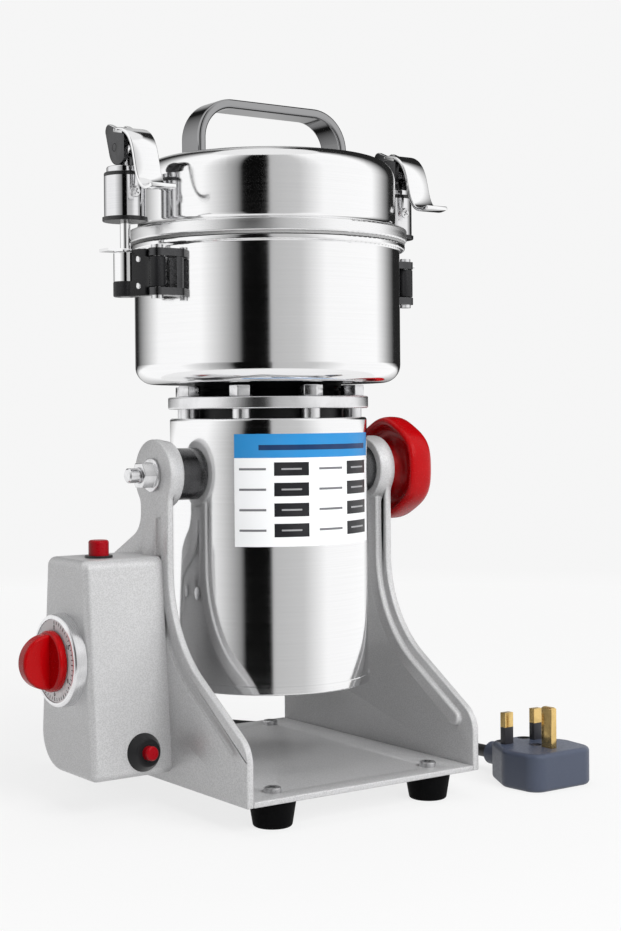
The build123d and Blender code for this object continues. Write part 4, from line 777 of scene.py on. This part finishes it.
class GRINDER_OT_cord(bpy.types.Operator):
    """Mains cord from the strain relief through its coil to the plug, with the tie on the coil"""

    bl_idname = "grinder.cord"
    bl_label = "Cord"

    lead = (
        (-87.0, 74.1, 50.9), (-87.0, 98.0, 53.0), (-78.0, 117.0, 45.0), (-59.0, 128.0, 28.0),
        (-37.0, 133.0, 12.0), (-14.0, 134.0, 3.5), (3.0, 134.0, 3.5),
    )
    tail = (
        (17.0, 134.0, 11.2), (38.0, 134.0, 11.2), (70.0, 129.0, 5.0), (100.0, 112.0, 3.5),
        (119.0, 84.0, 3.5), (128.0, 52.0, 3.5), (129.5, 22.0, 3.5), (127.0, -4.0, 6.5),
        (124.0, -27.0, 10.5), (124.0, -46.0, 10.5),
    )
    per_turn = 20
    climb_turns = 0.5
    tie_width = 0.009
    tie_slack = 0.0009
    tie_rise = 0.0008
    tie_corner = 0.0032
    tie_sheet = 0.0005

    def coil(self, sizes):
        """Control points of the coil: two turns inward on the floor, two outward above them."""
        half = sizes.turns / 2
        widen = 1 / math.cos(math.pi / self.per_turn)
        points = []
        for index in range(1, sizes.turns * self.per_turn):
            turns = index / self.per_turn
            radius = sizes.coil_radius - sizes.coil_step * (half - abs(turns - half))
            climb = min(max((turns - half) / self.climb_turns + 0.5, 0), 1)
            rise = climb * climb * (3 - 2 * climb)
            angle = 2 * math.pi * turns - math.pi / 2
            points.append((
                sizes.coil_x + radius * widen * math.cos(angle),
                sizes.coil_y + radius * widen * math.sin(angle),
                sizes.diameter / 2 + sizes.coil_step * rise,
            ))
        return points

    def execute(self, context):
        sizes = context.scene.grinder_cord
        route = [tuple(v * MM for v in point) for point in self.lead]
        route += self.coil(sizes)
        route += [tuple(v * MM for v in point) for point in self.tail]
        cord = smooth_line("mains_cord", route, order=3, steps=8)
        cord.data.bevel_depth = sizes.diameter / 2
        cord.data.bevel_resolution = 5
        cord.data.use_fill_caps = True
        cord.data.materials.append(FINISHES["cord"])
        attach(cord, "stand")
        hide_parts("power_cord_lead", "power_cord_coil", "power_cord_tail")
        tie = self.tie(sizes)
        return {"FINISHED"}

    def tie(self, sizes):
        """Flat band round all turns at the back of the coil."""
        reach = sizes.diameter / 2 + self.tie_slack
        inner = sizes.coil_radius - sizes.coil_step * sizes.turns / 2 - reach
        outer = sizes.coil_radius + reach
        tall = sizes.diameter + sizes.coil_step + self.tie_rise
        place = (sizes.coil_x, sizes.coil_y + (inner + outer) / 2, tall / 2)
        band = block((self.tie_width, outer - inner, tall), place)
        pick(edit(band), lambda face: abs(face.normal.x) > FACING)
        bpy.ops.mesh.delete(type="FACE")
        select_all()
        mesh = bmesh.from_edit_mesh(band.data)
        for edge in mesh.edges:
            edge.select = abs((edge.verts[0].co - edge.verts[1].co).normalized().x) > FACING
        mesh.select_flush_mode()
        bpy.ops.mesh.bevel(offset=self.tie_corner, segments=5)
        leave()
        thicken(band, self.tie_sheet, offset=-1.0)
        return settle(band, "coil_tie", "stand", "tie")


class GRINDER_OT_edges(bpy.types.Operator):
    """Stand, links, bolts, nut and plug pins with rounded edges, in place of their sharp solids"""

    bl_idname = "grinder.edges"
    bl_label = "Rounded pieces"

    pieces = (
        ("base_plate", 0.0006, "stand", "silver_paint", "sand"),
        ("left_upright", 0.0007, "stand", "silver_paint", "sand"),
        ("right_upright", 0.0007, "stand", "silver_paint", "sand"),
        ("left_clamp_link", 0.0006, "left_clamp", "black_paint", "link"),
        ("right_clamp_link", 0.0006, "right_clamp", "black_paint", "link"),
        ("neck_bolts", 0.0004, "grinder", "zinc_steel", "zinc"),
        ("pivot_nut", 0.0004, "stand", "zinc_steel", "zinc"),
        ("plug_pins", 0.0003, "stand", "plug_brass", "pins"),
    )

    def execute(self, context):
        for node, width, body, slot, finish in self.pieces:
            piece = softened(node, width)
            settle(piece, f"{node}_edged", body, finish)
            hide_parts(node)
        return {"FINISHED"}


class GRINDER_OT_levers(bpy.types.Operator):
    """Cam levers with their finger plates pressed into one smooth curve"""

    bl_idname = "grinder.levers"
    bl_label = "Clamp levers"

    plate = (
        (-2.0, 8.7), (-8.0, 9.0), (-15.8, 6.2), (-21.0, -2.5), (-23.0, -12.0), (-26.0, -21.5),
        (-32.5, -26.2), (-40.4, -23.8),
    )
    plate_width = 0.015
    plate_sheet = 0.0021
    plate_edge = 0.0005
    cheek_edge = 0.00035
    cheek_front = 0.0105
    pivot_out = 0.0906
    pivot_height = 0.349
    dark_half = 0.0068
    dark_front = 0.0125
    dark_top = 0.0072

    def finger_plate(self, context, pivot):
        """Strip along a smooth side curve, drawn out across the lever and thickened."""
        side = pivot.x - self.plate_width / 2
        points = [(side, pivot.y + along * MM, pivot.z + up * MM) for along, up in self.plate]
        make_active(smooth_line("finger_plate", points, order=4, steps=6))
        bpy.ops.object.convert(target="MESH")
        strip = context.object
        edit(strip)
        select_all()
        bpy.ops.mesh.extrude_region_move(TRANSFORM_OT_translate={"value": (self.plate_width, 0, 0)})
        select_all()
        bpy.ops.mesh.normals_make_consistent(inside=False)
        leave()
        thicken(strip, self.plate_sheet, offset=0.0)
        round_edges(strip, self.plate_edge, angle=50, clamp=True)
        return strip

    def is_dark(self, middle, pivot):
        """Whether a face belongs to the cheeks under the plate, which take the darker steel as painted
        shade.
        """
        return (
            abs(middle.x - pivot.x) < self.dark_half
            and middle.z < pivot.z + self.dark_top
            and middle.y > pivot.y - self.dark_front
        )

    def execute(self, context):
        for side, sign in SIDES:
            node = f"{side}_clamp_lever"
            pivot = Vector((sign * self.pivot_out, 0.0, self.pivot_height))
            cheeks = softened(node, self.cheek_edge)
            make_active(cheeks)
            edit(cheeks)
            select_all()
            bpy.ops.mesh.bisect(
                plane_co=(0, pivot.y - self.cheek_front, 0), plane_no=(0, -1, 0), use_fill=True,
                clear_outer=True,
            )
            leave()
            lever = join([cheeks, self.finger_plate(context, pivot)])
            settle(lever, f"{side}_curved_lever", f"{side}_lever", "bright")
            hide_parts(node)
            # Cheeks under the finger plate take the darker steel as painted shade.
            lever.data.materials.append(FINISHES["shaded_dark_steel"])
            for face in lever.data.polygons:
                if self.is_dark(face.center, pivot):
                    face.material_index = 1
        return {"FINISHED"}


class GRINDER_OT_lock(bpy.types.Operator):
    """Lock knob with its coned hub, dished back and shallow grip lobes"""

    bl_idname = "grinder.lock"
    bl_label = "Lock knob"

    profile = (
        (0.0, 5.1), (0.0, 10.2), (0.6, 11.0), (5.0, 12.2), (9.5, 14.8), (11.6, 18.5), (10.8, 22.0),
        (7.0, 24.3), (5.0, 25.8), (4.6, 27.4), (5.4, 28.9), (8.0, 29.8), (13.0, 30.0), (18.0, 29.5),
        (20.8, 27.6), (22.2, 23.5), (22.5, 15.0), (21.9, 8.0), (21.7, 0.0),
    )
    lobes = 6
    lobe_share = 0.042
    lobe_start = 0.019
    lobe_blend = 0.009

    def execute(self, context):
        low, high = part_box("lock_knob")
        axis = (low + high) / 2
        mesh = bpy.data.meshes.new("lock_knob_turned")
        points = [(low.x + out * MM, 0.0, axis.z + radius * MM) for out, radius in self.profile]
        mesh.from_pydata(points, [(i, i + 1) for i in range(len(points) - 1)], [])
        knob = add_object("lock_knob_turned", mesh)
        rounding = knob.modifiers.new("Smooth", "SUBSURF")
        rounding.levels = 2
        rounding.render_levels = 2
        apply_modifiers(knob)
        edit(knob)
        select_all()
        bpy.ops.mesh.spin(steps=96, angle=2 * math.pi, center=(0, 0, axis.z), axis=(1, 0, 0))
        select_all()
        bpy.ops.mesh.remove_doubles(threshold=0.00001)
        bpy.ops.mesh.normals_make_consistent(inside=False)
        for vert in bmesh.from_edit_mesh(knob.data).verts:
            off = Vector((0.0, vert.co.y, vert.co.z - axis.z))
            share = min(max((off.length - self.lobe_start) / self.lobe_blend, 0.0), 1.0)
            wave = (1 - math.cos(self.lobes * math.atan2(off.y, off.z))) / 2
            vert.co -= off * (self.lobe_share * share * wave)
        bmesh.update_edit_mesh(knob.data)
        leave()
        settle(knob, "lock_knob_turned", "lock_knob", "red")
        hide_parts("lock_knob")
        return {"FINISHED"}


class GRINDER_OT_neck(bpy.types.Operator):
    """Slotted black ring in the gap under the neck ring: a dark piece put there as painted shade of
    that gap
    """

    bl_idname = "grinder.neck"
    bl_label = "Neck gap shade ring"

    gap = 0.005
    radius = 0.043
    slot_angle = 5
    slot_frame = 0.0007
    slot_depth = 0.0012
    wall = 0.0022

    def slotted(self, face):
        """Whether a face is one of the slots, which are every other facet."""
        middle = face.calc_center_median()
        return int(math.degrees(math.atan2(middle.y, middle.x)) // self.slot_angle) % 2 == 0

    def execute(self, context):
        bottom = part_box("motor_housing")[1].z
        ring = tube(360 // self.slot_angle, self.radius, bottom, bottom + self.gap)
        pick(edit(ring), self.slotted)
        bpy.ops.mesh.inset(thickness=self.slot_frame, use_individual=True)
        bpy.ops.mesh.extrude_region_shrink_fatten(
            TRANSFORM_OT_shrink_fatten={"value": -self.slot_depth}
        )
        leave()
        thicken(ring, self.wall, offset=-1.0)
        # Black ring as painted shade: it fills the gap under the neck ring with dark.
        settle(ring, "neck_gap_shade_ring", "grinder", "black")
        return {"FINISHED"}


class GRINDER_OT_label(bpy.types.Operator):
    """Rating label wrapped on the motor can"""

    bl_idname = "grinder.label"
    bl_label = "Rating label"

    facets = 288
    can_radius = 0.055
    lift = 0.00008
    film = 0.00018

    def execute(self, context):
        sizes = context.scene.grinder_label

        def outside(face):
            middle = face.calc_center_median()
            return not sizes.start < math.atan2(middle.x, -middle.y) < sizes.end

        label = tube(self.facets, self.can_radius + self.lift, sizes.bottom, sizes.top)
        pick(edit(label), outside)
        bpy.ops.mesh.delete(type="FACE")
        leave()
        thicken(label, self.film, offset=1.0)
        settle(label, "rating_label", "grinder", "label")
        return {"FINISHED"}


class GRINDER_OT_dial(bpy.types.Operator):
    """Minute marks and plain numbers on the timer dial"""

    bl_idname = "grinder.dial"
    bl_label = "Dial marks"

    minutes = 10
    parts = 4
    minute_angle = 30
    tick_size = (0.0002, 0.0004, 0.0017)
    tick_corner = 0.00006
    tick_inset = 0.0018
    minute_growth = (1, 1.5, 1.25, 1)
    figure_size = 0.0034
    figure_height = 0.0001
    figure_inset = 0.0044

    def ticks(self, face, outer):
        """Marks round the dial, larger at full minutes."""
        tick = block(self.tick_size)
        edit(tick)
        select_all()
        bpy.ops.mesh.bevel(offset=self.tick_corner, segments=1)
        leave()
        reach = Matrix.Translation((0, 0, outer - self.tick_inset))
        marks = []
        for step in range(self.minutes * self.parts + 1):
            turn = Matrix.Rotation(math.radians(step * self.minute_angle / self.parts), 4, "X")
            grow = Matrix.Identity(4) if step % self.parts else Matrix.Diagonal(self.minute_growth)
            marks.append(copy_of(tick, Matrix.Translation(face) @ turn @ reach @ grow))
        bpy.data.objects.remove(tick)
        return marks

    def figures(self, context, face, outer):
        """Plain numbers of the even minutes, facing left."""
        upright = Matrix.Rotation(math.radians(-90), 4, "Z") @ Matrix.Rotation(math.radians(90), 4, "X")
        reach = outer - self.figure_inset
        marks = []
        for number in range(0, self.minutes + 1, 2):
            deselect()
            bpy.ops.object.text_add()
            figure = context.object
            figure.data.body = str(number)
            figure.data.size = self.figure_size
            figure.data.align_x = "CENTER"
            figure.data.align_y = "CENTER"
            figure.data.extrude = self.figure_height
            bpy.ops.object.convert(target="MESH")
            turn = math.radians(number * self.minute_angle)
            spot = face + Vector((0, math.sin(turn) * reach, math.cos(turn) * reach))
            figure.data.transform(Matrix.Translation(spot) @ upright)
            marks.append(figure)
        return marks

    def execute(self, context):
        low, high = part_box("timer_dial")
        centre = (low + high) / 2
        face = Vector((low.x, centre.y, centre.z))
        outer = (high.z - low.z) / 2
        marks = self.ticks(face, outer) + self.figures(context, face, outer)
        settle(join(marks), "dial_marks", "stand", "print")
        return {"FINISHED"}


class GRINDER_OT_trim(bpy.types.Operator):
    """Cross-head screws on the cups and rivets on the links"""

    bl_idname = "grinder.trim"
    bl_label = "Screws and rivets"

    recess_long = 0.0036
    recess_wide = 0.0008
    screw_depth = 0.0016
    screw_front = 0.0110
    screw_height = 0.325
    screw_turn = 28
    hinge = (0.083, -0.020)
    link_way = (0.355, 0.935)
    rivet_along = 0.0098
    rivet_out = 0.0036
    rivet_heights = (0.2755, 0.2895)

    def head(self, context, facets, radius, depth, corner, steps):
        """Round head with its upper rim rounded."""
        deselect()
        bpy.ops.mesh.primitive_cylinder_add(vertices=facets, radius=radius, depth=depth)
        head = context.object
        pick(edit(head), lambda face: face.normal.z > FACING)
        bpy.ops.mesh.bevel(offset=corner, segments=steps)
        leave()
        return head

    def cross(self, head):
        """Cut a cross recess into a head."""
        long, wide, depth = self.recess_long, self.recess_wide, self.screw_depth
        cutters = [
            block(size, (0, 0, depth / 2)) for size in ((long, wide, depth), (wide, long, depth))
        ]
        for cutter in cutters:
            recess = head.modifiers.new("Recess", "BOOLEAN")
            recess.operation = "DIFFERENCE"
            recess.object = cutter
        apply_modifiers(head)
        for cutter in cutters:
            bpy.data.objects.remove(cutter)

    def execute(self, context):
        screw = self.head(
            context, facets=32, radius=0.0030, depth=self.screw_depth, corner=0.0006, steps=3
        )
        self.cross(screw)
        rivet = self.head(context, facets=24, radius=0.0016, depth=0.0010, corner=0.0007, steps=4)
        for piece in (screw, rivet):
            piece.data.transform(Matrix.Rotation(math.radians(90), 4, "X"))
        for side, sign in SIDES:
            low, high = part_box(f"{side}_clamp_cup")
            axis = (low + high) / 2
            spot = Matrix.Translation((axis.x, axis.y - self.screw_front, self.screw_height))
            tilt = Matrix.Rotation(math.radians(self.screw_turn), 4, "Y")
            copy = copy_of(screw, spot @ tilt)
            settle(copy, f"{side}_cup_screw", f"{side}_cup", "zinc")
            east, north = self.link_way
            along = Vector((sign * east, north, 0.0))
            outward = Vector((sign * north, -east, 0.0))
            base = Vector((sign * self.hinge[0], self.hinge[1], 0.0))
            base += along * self.rivet_along + outward * self.rivet_out
            turn = Matrix.Rotation(math.atan2(outward.x, -outward.y), 4, "Z")
            heads = [
                copy_of(rivet, Matrix.Translation((base.x, base.y, height)) @ turn)
                for height in self.rivet_heights
            ]
            settle(join(heads), f"{side}_link_rivets", f"{side}_clamp", "zinc")
        bpy.data.objects.remove(screw)
        bpy.data.objects.remove(rivet)
        return {"FINISHED"}


class GRINDER_OT_finishes(bpy.types.Operator):
    """Make every finish and dress the CAD nodes with it"""

    bl_idname = "grinder.finishes"
    bl_label = "Finishes"

    dressed = {
        "sand": ("control_box", "box_back_plate"),
        "mirror": ("motor_housing", "grinding_pot", "lid_shell"),
        "bright": ("left_clamp_rod", "right_clamp_rod"),
        "strap": ("lid_handle",),
        "cup": ("left_clamp_cup", "right_clamp_cup"),
        "zinc": (
            "box_screws", "pivot_bolt", "lock_stud", "clamp_hinge_pins",
            "rotor_shaft", "shaft_bearings", "blade_nut", "blade_spacer", "motor_base_cap",
        ),
        "satin": ("lid_band",),
        # Darker steel as painted shade on the trunnion pads and clamp brackets.
        "shaded_dark_steel": ("trunnion_pads", "clamp_brackets"),
        "feet_screws": ("foot_screws",),
        "blade": ("grinding_blades",),
        "alloy": ("neck_ring", "timer_bezel"),
        "rubber": ("rubber_feet", "neck_gasket", "shaft_seal", "cord_strain_relief"),
        "seal": ("lid_gasket",),
        "red": ("timer_knob",),
        "button": ("reset_button", "start_button"),
        "black": ("overload_breaker", "timer_mechanism", "brush_holders", "cooling_fan"),
        "collar": ("start_switch",),
        "dial": ("timer_dial",),
        "iron": ("stator_core", "armature_core"),
        "copper": ("field_coils", "commutator"),
        "plug": ("plug_body",),
        "brass": ("plug_screws",),
    }

    def execute(self, context):
        tone = context.scene.grinder_colours
        FINISHES.update({
            "sand": sand_paint(tone.sand),
            "mirror": polished_steel("mirror_stainless", tone.steel, 0.085, 1400.0, 0.05),
            "bright": polished_steel("bright_stainless", tone.steel, 0.07, 1800.0, 0.03),
            # Strap chrome darkened to about half as painted dark reflection.
            "strap": polished_steel("chrome_strap_painted_dark", shade(tone.chrome, 0.55), 0.05, 1800.0, 0.03),
            "cup": ringed_cup(tone),
            "seal": moulding("grey_silicone", tone.silicone, 0.5, 1800.0, 0.1, gloss=0.3),
            "blade": polished_steel("ground_blade_steel", tone.zinc, 0.22, 2600.0, 0.2),
            "satin": polished_steel("satin_stainless", tone.steel, 0.27, 700.0, 0.25),
            "zinc": plated_steel("bright_zinc", tone.zinc, 0.18),
            # Darker steel as painted shade on lever cheeks, clamp brackets and trunnion pads.
            "shaded_dark_steel": plated_steel("steel_painted_shade", tone.gunmetal, 0.24),
            "feet_screws": foot_screw_steel(tone),
            "alloy": turned_alloy(tone.alloy),
            "rubber": moulding("matt_rubber", tone.rubber, 0.6, 1800.0, 0.25, gloss=0.04),
            "cord": moulding("cord_jacket", tone.rubber, 0.45, 2600.0, 0.15),
            "tie": moulding("woven_tie", tone.rubber, 0.75, 3000.0, 0.5),
            "red": moulding("glossy_red", tone.red, 0.24, 1200.0, 0.03, coat=0.03, gloss=0.18),
            "button": moulding("button_red", tone.button_red, 0.3, 1400.0, 0.04, coat=0.03, gloss=0.18),
            "black": moulding("black_moulding", tone.black, 0.36, 1800.0, 0.12, gloss=0.25),
            "collar": moulding("switch_collar", tone.black, 0.4, 1800.0, 0.12),
            "link": moulding("black_link_paint", tone.black, 0.26, 900.0, 0.06, gloss=0.25),
            "print": moulding("dial_ink", tone.black, 0.5, 2500.0, 0.05),
            "dial": moulding("dial_white", tone.label_white, 0.42, 2200.0, 0.04),
            "iron": laminations(tone.iron),
            "copper": copper_wire(tone.copper),
            "plug": moulding("plug_moulding", tone.plug, 0.42, 1500.0, 0.16),
            "brass": plated_steel("bright_brass", tone.brass, 0.2),
            "pins": pin_brass(tone),
            "label": label_print(context.scene.grinder_label, tone),
        })
        for finish, nodes in self.dressed.items():
            for node in nodes:
                slots = NODES[node].data.materials
                slots.clear()
                slots.append(FINISHES[finish])
        return {"FINISHED"}


class GRINDER_PT_panel(bpy.types.Panel):
    """Sidebar panel of the grinder's looks"""

    bl_idname = "GRINDER_PT_panel"
    bl_label = "Powder grinder"
    bl_space_type = "VIEW_3D"
    bl_region_type = "UI"
    bl_category = "Grinder"

    def draw(self, context):
        for name, _ in SETTINGS:
            group = getattr(context.scene, name)
            box = self.layout.box()
            for key in group.bl_rna.properties.keys():
                if key not in ("rna_type", "name"):
                    box.prop(group, key)
        for operator in OPERATORS:
            self.layout.operator(operator.bl_idname)


OPERATORS = (
    GRINDER_OT_finishes, GRINDER_OT_studio, GRINDER_OT_edges, GRINDER_OT_cord, GRINDER_OT_levers,
    GRINDER_OT_lock, GRINDER_OT_neck, GRINDER_OT_label, GRINDER_OT_dial, GRINDER_OT_trim,
)
SETTINGS = (
    ("grinder_colours", GrinderColours), ("grinder_label", GrinderLabel), ("grinder_cord", GrinderCord),
    ("grinder_studio", GrinderStudio),
)


def register():
    """Register settings, operators and panel."""
    for key, group in SETTINGS:
        bpy.utils.register_class(group)
        setattr(bpy.types.Scene, key, bpy.props.PointerProperty(type=group))
    for operator in OPERATORS:
        bpy.utils.register_class(operator)
    bpy.utils.register_class(GRINDER_PT_panel)


def unregister():
    """Take settings, operators and panel away again."""
    bpy.utils.unregister_class(GRINDER_PT_panel)
    for operator in reversed(OPERATORS):
        bpy.utils.unregister_class(operator)
    for key, group in reversed(SETTINGS):
        delattr(bpy.types.Scene, key)
        bpy.utils.unregister_class(group)


def main():
    """Build the looks in order."""
    register()
    bpy.ops.grinder.finishes()
    bpy.ops.grinder.studio()
    bpy.ops.grinder.edges()
    bpy.ops.grinder.cord()
    bpy.ops.grinder.levers()
    bpy.ops.grinder.lock()
    bpy.ops.grinder.neck()
    bpy.ops.grinder.label()
    bpy.ops.grinder.dial()
    bpy.ops.grinder.trim()
    deselect()


if __name__ == "__main__":
    main()
